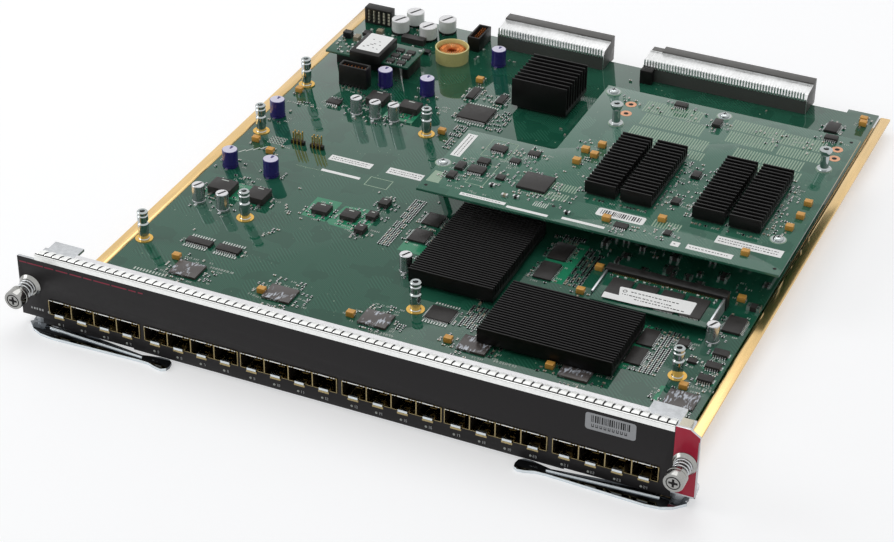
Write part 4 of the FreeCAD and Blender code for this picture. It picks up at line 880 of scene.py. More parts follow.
# ---------------------------------------------------------------- thumbscrews
class LINECARD_OT_thumbscrews(bpy.types.Operator):
    """Turn the thumbscrews, washers, collars and springs in full roundness"""

    bl_idname = "linecard.thumbscrews"
    bl_label = "Thumbscrews"

    def execute(self, context):
        for side in ("left", "right"):
            low, high = span(f"captive_screw_{side}")
            x, z, radius = (low.x + high.x) / 2, (low.z + high.z) / 2, (high.z - low.z) / 2
            self.head(side, x, z, radius, low.y, high.y)
            low, high = span(f"screw_washer_{side}")
            washer = Shapes()
            outer = (high.z - low.z) / 2
            washer.pierced_forward(x, z, [(outer - 0.15, high.y), (outer, high.y - 0.15),
                                          (outer, low.y + 0.15),
                                         (outer - 0.15, low.y)], 2.46)
            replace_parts(washer.made(f"washer_disc_{side}", ["nickel"], f"washer_{side}", math.radians(30)),
                        f"screw_washer_{side}")
            self.spring(side, x, z)
        collars = Shapes()
        for low, high in islands("screw_collars"):
            x, z, outer = (low.x + high.x) / 2, (low.z + high.z) / 2, (high.z - low.z) / 2
            collars.pierced_forward(x, z, [(3.9, high.y), (3.9, 0.0), (outer, 0.0), (outer, -0.5),
                                           (outer - 0.6, -1.2),
                                          (5.9, -1.4), (5.5, low.y + 0.15), (5.3, low.y), (4.2, low.y),
                                          (3.6, low.y + 0.5)], 2.5)
        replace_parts(collars.made("collar_rings", ["nickel"], "card", math.radians(35)), "screw_collars")
        return {"FINISHED"}

    def head(self, side, x, z, radius, front, back):
        """Head with a rolled edge, on its shank and thread; its ring groove and cross recess are dark pieces
        on the face, painted shade.
        """
        screw = Shapes()
        seat = front + 7.5
        shank_end = back - 6.0
        neck = radius - 0.35
        profile = [(1.5, back), (1.9, back - 0.5)]
        for turn in range(9):
            y = back - 0.7 - turn * 0.58
            profile += [(1.9, y), (1.6, y - 0.29)]
        profile += [(1.9, shank_end), (2.4, shank_end - 0.1), (2.4, seat + 0.05), (radius - 0.3, seat),
                    (radius, seat - 0.3), (radius, seat - 1.6), (neck, seat - 1.8), (neck, seat - 2.3),
                    (radius, seat - 2.5), (radius, front + 0.9), (radius - 0.25, front + 0.3),
                    (radius - 0.9, front + 0.05), (radius - 1.5, front + 0.05), (radius - 1.7, front + 0.2),
                    (3.4, front + 0.2)]
        screw.turned_forward(x, z, profile, 48, 0)
        # dark ring, cross and centre on the face: painted shade of the groove and the recess
        screw.pierced_forward(x, z, [(3.7, front + 0.22), (3.7, front + 0.04)], 3.3, 40, 1)
        for wide, high in ((0.6, 2.4), (2.4, 0.6)):
            screw.front_slab([(x - wide, z - high), (x + wide, z - high), (x + wide, z + high),
                              (x - wide, z + high)],
                             (front + 0.12, front + 0.25), 1)
        screw.front_slab([(x + 1.15 * math.cos(math.radians(a)), z + 1.15 * math.sin(math.radians(a)))
                          for a in range(0, 360, 45)], (front + 0.11, front + 0.25), 1)
        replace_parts(screw.made(f"thumbscrew_{side}", ["nickel", "recess_shade"], f"screw_{side}",
                               math.radians(28)),
                    f"captive_screw_{side}")

    def spring(self, side, x, z):
        """Round wire on a cone, wide end at the collar, with closed end turns."""
        node = f"screw_spring_{side}"
        low, high = span(node)
        wire, turns, steps, facets = 0.5, 3.5, 168, 12
        wide, narrow = (high.z - low.z) / 2 - wire, 3.6
        coil = Shapes()
        rings = []
        for step in range(steps + 1):
            along = step / steps
            eased = min(1.0, max(0.0, (along - 0.08) / 0.84))
            radius = wide + (narrow - wide) * along
            y = high.y - wire - (high.y - low.y - 2 * wire) * eased
            turn = 2 * math.pi * turns * along
            rings.append([(x + (radius + wire * math.cos(a)) * math.cos(turn), y - wire * math.sin(a),
                           z + (radius + wire * math.cos(a)) * math.sin(turn))
                          for a in angles(facets)])
        coil.loft(rings)
        made = coil.made(f"spring_coil_{side}", ["spring_steel"], "card", math.radians(60))
        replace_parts(made, node)
        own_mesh(made)


# ---------------------------------------------------------------- round parts on the boards
class LINECARD_OT_capacitors(bpy.types.Operator):
    """Turn the cans with crimped feet, sleeves and marked tops"""

    bl_idname = "linecard.capacitors"
    bl_label = "Capacitors"

    def execute(self, context):
        # can tops paler than their sides: painted light from above
        self.cans("silver_capacitors", "can_aluminium", "lit_top", "black_ink", 0.8)
        self.cans("purple_capacitors", "purple_sleeve", "lit_lavender_top", "purple_sleeve", 0.0,
                  "purple_sleeve")
        self.cans("filter_capacitors", "pale_sleeve", "lit_top", "black_ink", 0.6, "black_plastic")
        return {"FINISHED"}

    def cans(self, node, side, top, mark, mark_share, foot_finish="solder"):
        cans = Shapes()
        SIDE, TOP, TAB, MARK, FOOT = range(5)
        for x, y, low, high in centres(node):
            radius, foot, height = (high.y - low.y) / 2, low.z, high.z
            waist = foot + (height - foot) * 0.12
            cans.turned(x, y, [(radius * 0.98, foot), (radius, foot + 0.2), (radius, waist)], 40, FOOT)
            cans.turned(x, y, [(radius * 0.90, waist), (radius * 0.90, waist + 0.3),
                               (radius * 0.97, waist + 0.6),
                               (radius * 0.97, height - 0.7), (radius - 0.15, height - 0.3),
                               (radius - 0.45, height - 0.05)], 40, SIDE)
            cans.turned(x, y, [(radius - 0.5, height - 0.3), (radius - 0.5, height)], 40, TOP)
            if mark_share:
                reach, half = radius * 0.66, radius * mark_share * 0.22
                cans.slab([(x - reach * 0.5 - half, y - reach), (x - reach * 0.5 + half, y - reach),
                           (x + reach * 0.5 + half, y + reach), (x + reach * 0.5 - half, y + reach)],
                          film(height), MARK)
            else:
                cans.slab([(x - 0.5, y + radius * 0.1), (x + 0.5, y + radius * 0.1),
                           (x + 1.0, y + radius * 0.72),
                           (x - 1.0, y + radius * 0.72)], film(height), MARK)
            cans.box((x - 0.9, x + 0.9), (low.y - 1.3, y), (foot, foot + 0.25), TAB)
        made = cans.made(f"{node}_turned", [side, top, "solder", mark, foot_finish], "card",
                         math.radians(32))
        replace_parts(made, node)


class LINECARD_OT_posts(bpy.types.Operator):
    """Turn the posts and pan-head screws, and lay the gold rings under them"""

    bl_idname = "linecard.posts"
    bl_label = "Posts and screws"

    def execute(self, context):
        posts, pads = Shapes(), Shapes()
        board = span("main_board")[1].z
        upper = span("daughter_board")[1].z
        for x, y, low, high in centres("spacer_posts"):
            if high.z > upper - 2:
                posts.turned(x, y, [(3.2, low.z), (3.2, high.z)], 6)
                continue
            height = high.z - low.z
            grooves = [(3.25, low.z), (3.25, low.z + 0.6), (2.9, low.z + 0.9), (2.9, low.z + height * 0.25),
                       (3.2, low.z + height * 0.28), (3.2, low.z + height * 0.56),
                       (2.4, low.z + height * 0.6),
                       (2.4, low.z + height * 0.64), (3.2, low.z + height * 0.68),
                       (3.2, low.z + height * 0.84),
                       (2.7, low.z + height * 0.87), (2.7, low.z + height * 0.9),
                       (3.2, low.z + height * 0.93),
                       (3.2, high.z - 0.4), (2.8, high.z), (1.6, high.z), (1.4, high.z - 0.8)]
            posts.turned(x, y, grooves, 36)
            # dark disc at the bottom of the post's bore: painted shade
            posts.turned(x, y, [(1.35, high.z - 0.85), (1.35, high.z - 0.7)], 20, 1)
            pads.ring(x, y, (board, board + 0.35), 3.1, 5.2, 36)
        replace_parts(posts.made("posts_turned", ["post_metal", "recess_shade"], "card", math.radians(30)),
                    "spacer_posts")
        pads.made("post_rings", ["gold_contact"], "card", math.radians(30))
        tall = Shapes()
        for x, y, low, high in centres("daughter_posts"):
            tall.turned(x, y, [(4.4, low.z), (4.4, low.z + 0.7), (3.2, low.z + 1.0), (2.6, low.z + 1.6),
                               (2.5, high.z - 4.2), (3.2, high.z - 3.2), (3.9, high.z - 1.2),
                               (3.9, high.z - 0.5),
                               (3.4, high.z), (1.7, high.z), (1.5, high.z - 0.8)], 36)
            # dark disc at the bottom of the post's bore: painted shade
            tall.turned(x, y, [(1.45, high.z - 0.85), (1.45, high.z - 0.7)], 20, 1)
        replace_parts(tall.made("upper_posts_turned", ["post_metal", "recess_shade"], "card", math.radians(30)),
                    "daughter_posts")
        screws = Shapes()
        for x, y, low, high in centres("daughter_screws"):
            screws.turned(x, y, [(4.3, low.z), (4.3, low.z + 0.3), (3.0, low.z + 0.35), (3.0, low.z + 1.0),
                                 (2.6, low.z + 1.6), (1.7, high.z), (0.3, high.z)], 32)
            # dark cross on the screw's head: painted shade of its recess
            for wide, deep in ((0.3, 1.4), (1.4, 0.3)):
                screws.box((x - wide, x + wide), (y - deep, y + deep), (high.z - 0.02, high.z + PRINT), 1)
        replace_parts(screws.made("pan_screws", ["post_metal", "recess_shade"], "card", math.radians(35)),
                    "daughter_screws")
        return {"FINISHED"}


class LINECARD_OT_choke(bpy.types.Operator):
    """Turn the choke's cup and wind its ring with copper"""

    bl_idname = "linecard.choke"
    bl_label = "Choke"

    def execute(self, context):
        low, high = span("choke_case")
        x, y, radius = (low.x + high.x) / 2, (low.y + high.y) / 2, (high.y - low.y) / 2
        cup = Shapes()
        profile = [(radius - 0.4, low.z), (radius, high.z - 0.3), (radius - 0.25, high.z),
                   (radius - 0.9, high.z),
                   (radius - 1.1, high.z - 0.3), (radius - 1.1, low.z + 1.5)]
        cup.turned(x, y, profile, 56)
        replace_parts(cup.made("choke_cup", ["choke_plastic"], "card", math.radians(35)), "choke_case")
        low, high = span("choke_winding")
        z, middle, thick, turns = (low.z + high.z) / 2, 6.2, (high.z - low.z) / 2 - 0.5, 26
        core = Shapes()
        core.hoop([[(x + (middle + 2.7 * math.cos(b)) * math.cos(a),
                     y + (middle + 2.7 * math.cos(b)) * math.sin(a),
                     z + (thick - 0.3) * math.sin(b)) for b in angles(16)] for a in angles(48)])
        for turn in angles(turns):
            self.strand(core, x, y, z, turn, middle, 3.0, thick, 1)
        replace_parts(core.made("choke_windings", ["choke_plastic", "copper_wire"], "card", math.radians(50)),
                    "choke_winding")
        return {"FINISHED"}

    def strand(self, shapes, x, y, z, turn, middle, wide, high, kind):
        """One turn of wire round the ring, leaning a little towards the next."""
        wire, rings = 0.42, []
        for tilt in angles(20):
            lean = turn + 0.12 * math.sin(tilt)
            rings.append([])
            for a in angles(6):
                radius = middle + (wide + wire * math.cos(a)) * math.cos(tilt)
                rings[-1].append((x + radius * math.cos(lean) - wire * math.sin(a) * math.sin(lean),
                                  y + radius * math.sin(lean) + wire * math.sin(a) * math.cos(lean),
                                  z + (high + wire * math.cos(a)) * math.sin(tilt)))
        shapes.hoop(rings, kind)


# ---------------------------------------------------------------- small parts of the boards
PIN_PITCH = 2.54
KIT = ["solder", "resistor_black", "ceramic_tan", "white_ink", "bright_mask", "paper_label", "gold_contact",
       "black_ink", "chip_epoxy", "recess_shade", "tantalum_epoxy", "pale_mask"]
SOLDER, BLACK, TAN, INK, BRIGHT, PAPER, GOLD, PRINTED, EPOXY, HOLE, AMBER, PALE = range(len(KIT))


def chip_part(shapes, x, y, z, size, along_y=False, body=BLACK):
    """A surface-mounted part: a body between two soldered ends."""
    length, width, height = size
    end = length * 0.26
    for low, high, kind, over in ((-length / 2, -length / 2 + end, SOLDER, 0.04),
                                  (-length / 2 + end, length / 2 - end, body, 0.0),
                                  (length / 2 - end, length / 2, SOLDER, 0.04)):
        run, across = (low, high), (-width / 2 - over, width / 2 + over)
        if along_y:
            run, across = across, run
        shapes.box((x + run[0], x + run[1]), (y + across[0], y + across[1]), (z, z + height + over), kind)


def gull_wings(shapes, low, high, board, pitch, sides, width=0.45, reach=1.5):
    """Bent leads along the named sides of a package; n is the back."""
    shoulder, thick = board + (high.z - board) * 0.45, 0.2
    course = [(-0.1, shoulder), (reach * 0.3, shoulder), (reach * 0.55, board), (reach, board)]
    for side in sides:
        outward_y, sign = side in "ns", 1 if side in "ne" else -1
        start, end = (low.x, high.x) if outward_y else (low.y, high.y)
        edge = (high if sign > 0 else low)[1 if outward_y else 0]
        count = max(1, int((end - start - width) / pitch))
        first = (start + end) / 2 - pitch * (count - 1) / 2
        for lead in range(count):
            middle = first + lead * pitch
            rings = []
            for out, under in course:
                away = edge + sign * out
                near, far = middle - width / 2, middle + width / 2
                ring = [(near, away, under), (far, away, under), (far, away, under + thick),
                        (near, away, under + thick)]
                rings.append(ring if outward_y else [(b, a, h) for a, b, h in ring])
            shapes.loft(rings, SOLDER)


def place_number(shapes, draw, x, y, z, height=1.5):
    """A part's printed place number, two or three plain figures."""
    for run, across in strokes(str(draw.randrange(10, 400)), x, y, height):
        shapes.box(run, across, film(z), INK)


def label(shapes, draw, x, y, z, rows=2, along_y=False):
    """A paper label with rows of plain bars."""
    shapes.box(x, y, (z, z + PRINT * 2), PAPER)
    run, across = (y, x) if along_y else (x, y)
    step = (across[1] - across[0]) / (rows + 1)
    for row in range(1, rows + 1):
        middle = across[0] + row * step
        for dash in dashes(draw, run[0] + 1.5, run[1] - 2.5, (0.5, 1.6), (0.4, 0.9)):
            bar = (dash, (middle - step * 0.12, middle + step * 0.12))
            shapes.box(*(bar[::-1] if along_y else bar), film(z, 2), PRINTED)


class Ground:
    """Keeps the small parts of a board clear of what stands on it and of each other."""

    def __init__(self, board, nodes, edge=2.0, taken=()):
        low, high = span(board)
        self.low, self.high, self.edge = low, high, edge
        self.taken = list(taken)
        for node in nodes:
            self.taken += [(a.x - 0.5, b.x + 0.5, a.y - 0.5, b.y + 0.5) for a, b in islands(node)]

    def free(self, x, y, half_x, half_y):
        """Take the place, if it is free."""
        if not (self.low.x + self.edge < x < self.high.x - self.edge and
                self.low.y + self.edge < y < self.high.y - self.edge):
            return False
        for left, right, front, back in self.taken:
            if x + half_x > left and x - half_x < right and y + half_y > front and y - half_y < back:
                return False
        self.taken.append((x - half_x, x + half_x, y - half_y, y + half_y))
        return True


def crowd(shapes, draw, ground, low, high, z, rings=2, share=0.7):
    """Resistors, capacitors and place numbers in rows round a package."""
    for ring in range(rings):
        gap = 2.6 + 2.7 * ring
        rows = [(low.x, high.x, low.y - gap, False), (low.x, high.x, high.y + gap, False),
                (low.y, high.y, low.x - gap, True), (low.y, high.y, high.x + gap, True)]
        for start, end, across, upright in rows:
            place = start + draw.uniform(0, 1.5)
            while place < end:
                pick = draw.random()
                x, y = (across, place) if upright else (place, across)
                if pick < share and ground.free(x, y, 0.9, 1.05):
                    if pick < share * 0.72:
                        chip_part(shapes, x, y, z, (1.9, 1.05, 0.6), draw.random() < 0.6,
                                  BLACK if draw.random() < 0.6 else TAN)
                    else:
                        place_number(shapes, draw, x - 0.8, y - 0.8, z)
                place += draw.choice((2.1, 2.4, 3.4))


def bank(shapes, draw, ground, x, y, z, share):
    """A close field of resistors in columns."""
    pitch_x, pitch_y = 2.7, 1.75
    place_x = x[0]
    while place_x <= x[1]:
        place_y = y[0]
        while place_y <= y[1]:
            if draw.random() < share and ground.free(place_x, place_y, 1.05, 0.6):
                chip_part(shapes, place_x, place_y, z, (2.0, 1.0, 0.55), False,
                          BLACK if draw.random() < 0.8 else TAN)
            place_y += pitch_y
        place_x += pitch_x


def spots(draw, ground, x, y, count, half_x, half_y):
    """Free places drawn between two (low, high) pairs."""
    for step in range(count):
        place = draw.uniform(*x), draw.uniform(*y)
        if ground.free(*place, half_x, half_y):
            yield place


def around(middle, width):
    return middle - width / 2, middle + width / 2


class LINECARD_OT_main_board_parts(bpy.types.Operator):
    """Fit the main board's leads, small parts, labels and print"""

    bl_idname = "linecard.main_board_parts"
    bl_label = "Main board parts"

    def execute(self, context):
        draw = random.Random(11)
        top = span("main_board")[1].z
        standing = ["board_chips", "regulators", "phy_chips", "tantalum_capacitors", "silver_capacitors",
                    "purple_capacitors", "pin_headers", "shrouded_headers", "rear_power_connector",
                    "choke_case",
                    "sink_packages", "memory_socket", "power_brick", "backplane_housings"]
        rings = [(low.x - 2, high.x + 2, low.y - 2, high.y + 2) for low, high in islands("spacer_posts")]
        ground = Ground("main_board", standing, taken=rings)
        self.print_and_labels(draw, ground, top)
        self.leads(draw, ground, top)
        self.fields(draw, ground, top)
        self.pins()
        return {"FINISHED"}

    def print_and_labels(self, draw, ground, top):
        flat = Shapes()
        for outline in (  # solder mask left brighter over the heat-spreading copper
                [(-100.5, 150.5), (-84.6, 149.2), (-84.4, 172.9), (-100.8, 172.6)],
                [(-84.0, 150.5), (-80.8, 148.0), (-58.6, 146.4), (-57.8, 164.9), (-62.7, 172.8),
                 (-81.1, 170.4)],
                [(-165.5, 150.0), (-129.5, 147.5), (-128.0, 166.0), (-164.5, 167.0)],
                [(-108.0, 276.5), (-87.5, 276.5), (-87.5, 298.5), (-108.0, 298.5)],
                [(-33.5, 140.0), (-16.0, 140.0), (-16.0, 150.0), (-33.5, 150.0)],
                [(47.5, 146.0), (66.0, 146.0), (66.0, 190.0), (47.5, 190.0)],
                [(116.0, 84.0), (127.5, 84.0), (127.5, 128.0), (116.0, 128.0)],
                [(149.6, 64.0), (152.0, 64.0), (152.0, 78.5), (149.6, 78.5)]):
            flat.slab(outline, (top, top + MASK), BRIGHT)
        for x, y in (((-115.0, -86.8), (214.8, 221.0)), ((-76.3, -53.2), (215.2, 222.2))):
            label(flat, draw, x, y, top, 2)
            ground.free((x[0] + x[1]) / 2, (y[0] + y[1]) / 2, (x[1] - x[0]) / 2, 3.6)
        label(flat, draw, (-113.0, -87.2), (200.9, 203.4), top, 0)
        ground.free(-100, 202, 13.5, 2)
        flat.frame((-82.4, 197.0), (-67.3, 207.6), film(top), 0.6, PALE)
        ground.free(-75, 202, 8, 6)
        flat.box((-129.6, -113.8), (200.6, 200.9), film(top), PALE)
        for start in range(4):
            x, y = -168.0 + start * 3.4, 199.0 + start * 3.1
            flat.slab([(x, y), (x + 2.6, y + 4.4), (x + 2.0, y + 4.8), (x - 0.6, y + 0.4)], film(top), INK)
        for column in range(5):
            for row in range(4):
                x, y = -157.6 + column * 2.1, 218.6 + row * 2.3
                if ground.free(x, y, 0.9, 0.9):
                    # printed rings, each round a dark disc that is painted shade in its hole
                    flat.ring(x, y, film(top), 0.55, 0.95, 10, INK)
                    flat.turned(x, y, [(0.5, top), (0.5, top + 0.25)], 8, HOLE)
        for x, y in ((163.4, 83.2), (-121.2, 77.2), (-171.0, 268.5), (60.4, 60.5), (-13.0, 58.5)):
            for step in range(4):
                place_number(flat, draw, x + step * 3.6, y, top, 1.9)
        for column in range(11):
            flat.box((-160 + column * 2.0, -159.1 + column * 2.0), (58.5, 61.0), film(top), INK)
        flat.made("main_board_print", KIT)

    def leads(self, draw, ground, top):
        leads = Shapes()
        for x, y, low, high in centres("board_chips"):
            wide, deep = high.x - low.x, high.y - low.y
            if min(wide, deep) > 12:
                gull_wings(leads, low, high, top, 0.8, "nsew", 0.4, 1.2)
            elif max(wide, deep) > 5:
                gull_wings(leads, low, high, top, 1.3, "ns" if wide > deep else "ew", 0.6, 1.6)
            else:
                chip_part(leads, x, y, top, (wide + 1.6, deep * 0.5, 0.8))
            if wide > deep and wide > 9:
                for side in (low.y - 2.9, high.y + 2.9):
                    for place in paces(low.x + 0.8, high.x, 1.7):
                        if ground.free(place, side, 0.6, 1.0):
                            chip_part(leads, place, side, top, (2.2, 0.8, 0.45), True, INK)
            crowd(leads, draw, ground, low, high, top, 1, 0.75)
        for middle, _, low, high in centres("regulators"):
            wide = high.x - low.x
            for step in (-0.32, 0.32):
                x = middle + step * wide
                leads.box((x - 0.7, x + 0.7), (low.y - 2.4, low.y + 0.1), (top, top + 0.5), SOLDER)
            leads.box((low.x + 0.8, high.x - 0.8), (high.y - 0.1, high.y + 1.6), (top, top + 0.9), SOLDER)
            leads.box((low.x + wide * 0.3, low.x + wide * 0.62), (high.y - 2.2, high.y - 1.4), film(high.z),
                      INK)
            crowd(leads, draw, ground, low, high, top, 2, 0.8)
        for x, y, low, high in centres("tantalum_capacitors"):
            along_y = high.y - low.y > high.x - low.x
            for end in (-1, 1):
                edge = (high if end > 0 else low)[1 if along_y else 0]
                run, across = tuple(sorted((edge, edge + end * 0.5))), around(x if along_y else y, 1.8)
                leads.box(*((across, run) if along_y else (run, across)), (top, top + 1.4), SOLDER)
            crowd(leads, draw, ground, low, high, top, 1, 0.35)
        leads.made("main_board_leads", KIT)

    def fields(self, draw, ground, top):
        small = Shapes()
        for x, y, share in (((-45.5, -37.5), (141, 195), 0.95), ((30.5, 43.0), (84, 106), 0.85),
                            ((29.5, 34.0), (106, 142), 0.6), ((129.5, 143.0), (85, 128), 0.9),
                            ((67.5, 77.0), (147, 190), 0.9), ((-59.5, -52.0), (258, 292), 0.6),
                            ((-33.0, -17.0), (151.5, 153.5), 0.9), ((-30.0, -17.0), (135.0, 138.0), 0.8),
                            ((44.5, 62.0), (191.5, 196.0), 0.8), ((-42.0, -33.5), (290, 316), 0.55)):
            bank(small, draw, ground, x, y, top, share)
        for low, high in islands("phy_chips"):
            crowd(small, draw, ground, low, high, top, 3, 0.62)
        for node in ("silver_capacitors", "purple_capacitors"):
            for low, high in islands(node):
                crowd(small, draw, ground, low, high, top, 1, 0.35)
        for x, y, wide, deep in ((-110.5, 152.0, 7, 9), (-108.5, 124.5, 8, 10), (-150, 172, 14, 8),
                                 (-147, 215, 6, 3),
                                 (156.8, 105.4, 6, 3), (-78, 300, 8, 10), (-157, 270, 16, 5),
                                 (160, 76, 10, 5),
                                 (-58, 325, 6, 10), (-140, 300, 18, 6), (100, 66, 30, 6), (20, 84, 20, 4)):
            for px, py in spots(draw, ground, around(x, wide), around(y, deep), int(wide * deep / 7), 1.0,
                                0.9):
                if draw.random() < 0.7:
                    chip_part(small, px, py, top, (2.0, 1.1, 0.6), draw.random() < 0.5,
                              draw.choice((BLACK, TAN)))
                else:
                    place_number(small, draw, px - 0.8, py - 0.8, top, 1.6)
        for step in range(90):  # dark packages in the shade of the upper board
            x, y = draw.uniform(38, 172), draw.uniform(158, 212)
            wide, deep = draw.uniform(3, 8), draw.uniform(2.5, 6)
            if ground.free(x, y, wide / 2 + 0.8, deep / 2 + 0.8):
                chip_part(small, x, y, top, (wide, deep, draw.uniform(1.0, 3.2)), False, EPOXY)
        for y in (118.2, 105.2, 92.2):
            for side in (-1, 1):
                x = 169.5 + side * 4.2
                small.box((x - 1.3, x + 1.3), (y - 3.0, y + 3.0), (top, top + 0.04), BRIGHT)
                small.box((x - 0.9, x + 0.9), (y - 1.6, y + 1.6), (top, top + 0.5), SOLDER)
        for x, y in spots(draw, ground, (-172, 172), (62, 392), 130, 1.2, 1.2):
            if draw.random() < 0.25:
                chip_part(small, x, y, top, (1.8, 1.0, 0.55), draw.random() < 0.5, TAN)
            else:
                small.ring(x, y, (top, top + MASK), 0.16, 0.42, 10, PALE)
        small.made("main_board_small_parts", KIT)

    def pins(self):
        pins = Shapes()
        for x, y, low, _ in centres("pin_headers"):
            for column in (-1, 0, 1):
                for row in (-0.5, 0.5):
                    pins.spike(x + column * PIN_PITCH, y + row * PIN_PITCH,
                               ((0.32, low.z - 0.1), (0.32, low.z + 8.2), (0.12, low.z + 8.7)), GOLD)
        pins.made("header_posts", KIT)


class LINECARD_OT_daughter_board_parts(bpy.types.Operator):
    """Fit the upper board's leads, small parts, labels, rings and print"""

    bl_idname = "linecard.daughter_board_parts"
    bl_label = "Upper board parts"

    def execute(self, context):
        draw = random.Random(23)
        top = span("daughter_board")[1].z
        ground = Ground("daughter_board", ["daughter_chips", "daughter_heatsinks", "daughter_screws",
                                           "daughter_posts"],
                        taken=[(-45, 21.5, 247, 345)])
        self.labels(draw, ground, top)
        self.rings(ground, top)
        self.parts(draw, ground, top)
        return {"FINISHED"}

    def labels(self, draw, ground, top):
        flat = Shapes()
        for x, y, rows, upright in (((-11.4, 17.0), (177.2, 180.2), 1, False),
                                    ((18.5, 44.0), (175.6, 177.9), 0, False),
                                    ((-34.6, -28.4), (216.5, 244.6), 2, True),
                                    ((52, 78), (177.4, 179.8), 0, False),
                                    ((117.5, 122.5), (177.2, 182.0), 1, False),
                                    ((126.5, 153.5), (177.8, 182.6), 1, False),
                                    ((139.0, 178.0), (190.8, 198.4), 2, False)):
            label(flat, draw, x, y, top, rows, upright)
            ground.free((x[0] + x[1]) / 2, (y[0] + y[1]) / 2, (x[1] - x[0]) / 2, (y[1] - y[0]) / 2)
        flat.slab(rounded((67.5, 96.5), (190.2, 198.6), 1.6), (top, top + PRINT * 2), PAPER)
        ground.free(82, 194.4, 15, 4.4)
        bar_code(flat, draw, (70.0, 94), (192.2, 197.0), film(top, 2), (0.3, 0.5, 0.8), (0.5, 0.7, 1.0),
                 PRINTED)
        for low, high in (((-18.3, 224.0), (-1.6, 244.6)), ((-14.0, 191.0), (-2.5, 215.6))):
            flat.frame(low, high, film(top), 0.45, PALE)
        flat.slab([(-35.4, 183.6), (-27.4, 183.6), (-28.0, 196.2), (-35.0, 196.6)], (top, top + MASK), PALE)
        for x, y in (((50, 86), (316, 330)), ((54, 92), (300, 314.5)), ((52, 100), (284, 297)),
                     ((56, 102), (273, 282.5)),
                     ((106, 137), (317, 330)), ((108, 138), (302, 315.5)), ((139, 166), (313.5, 327)),
                     ((141, 168), (300, 311.5)), ((118, 160), (286, 298)), ((122, 162), (275, 284.5)),
                     ((28, 50), (206, 214)), ((26, 48), (195, 203)), ((101, 117), (192, 200))):
            for place in paces(*x, 1.7):
                flat.box((place, place + 0.8), y, (top, top + 0.02), PALE)
        flat.made("upper_board_print", KIT)

    def rings(self, ground, top):
        rings = Shapes()
        for x, y in ((41.4, 320.5), (42.6, 308.5), (172.7, 321.1), (174.1, 310.0)):
            rings.ring(x, y, (top, top + 0.06), 1.5, 3.5, 28, 0)
            # dark disc in the ring's hole: painted shade
            rings.turned(x, y, [(1.45, top), (1.45, top + 0.05)], 20, 2)
            ground.free(x, y, 3, 3)
        for x, y in ((-33.2, 179.0), (178.3, 179.0), (43.0, 188.4), (178.0, 333.0)):
            # dark discs for bare holes: painted shade
            rings.turned(x, y, [(1.1, top), (1.1, top + 0.03)], 20, 2)
            ground.free(x, y, 1.5, 1.5)
        for node in ("daughter_screws", "daughter_posts"):
            for x, y, *_ in centres(node):
                rings.ring(x, y, (top, top + 0.05), 2.4, 4.9, 32, 1)
        rings.made("upper_board_rings", ["bare_copper", "pale_mask", "recess_shade"])

    def parts(self, draw, ground, top):
        small = Shapes()
        for low, high in islands("daughter_chips"):
            wide, deep = high.x - low.x, high.y - low.y
            if min(wide, deep) < 12 and max(wide, deep) > 4.5:
                gull_wings(small, low, high, top, 1.25, "ns" if wide > deep else "ew", 0.5, 1.3)
            crowd(small, draw, ground, low, high, top, 2, 0.7)
        for low, high in islands("daughter_heatsinks"):
            crowd(small, draw, ground, low, high, top, 1, 0.45)
        for x, y, body in ((-24.0, 216.5, TAN), (-14.0, 214.5, AMBER), (-11.0, 209.5, AMBER),
                           (2.4, 193.6, BLACK),
                           (13.4, 186.4, TAN), (20.0, 187.6, BLACK), (53.0, 184.0, BLACK),
                           (110, 188, AMBER)):
            if ground.free(x, y, 1.8, 1.3):
                chip_part(small, x, y, top, (3.6, 2.2, 1.6), False, body)
        for step in range(7):
            small.box((31.5 + step * 1.3, 32.1 + step * 1.3), (184.0, 189.0), film(top), INK)
        for x, y, wide, deep in ((8, 214, 12, 30), (40, 196, 26, 18), (44, 236, 20, 26), (106, 232, 16, 30),
                                 (160, 250, 20, 50),
                                 (96, 184, 40, 8), (60, 322, 60, 14), (140, 316, 40, 16), (-10, 186, 24, 8),
                                 (164, 222, 20, 18), (50, 262, 40, 14), (112, 262, 30, 14)):
            for px, py in spots(draw, ground, around(x, wide), around(y, deep), int(wide * deep / 13), 1.1,
                                0.9):
                pick = draw.random()
                if pick < 0.55:
                    chip_part(small, px, py, top, (1.9, 1.0, 0.55), draw.random() < 0.5,
                              draw.choice((BLACK, TAN)))
                elif pick < 0.8:
                    place_number(small, draw, px - 0.8, py - 0.8, top)
                else:
                    small.ring(px, py, (top, top + MASK), 0.16, 0.42, 10, PALE)
        small.made("upper_board_small_parts", KIT)


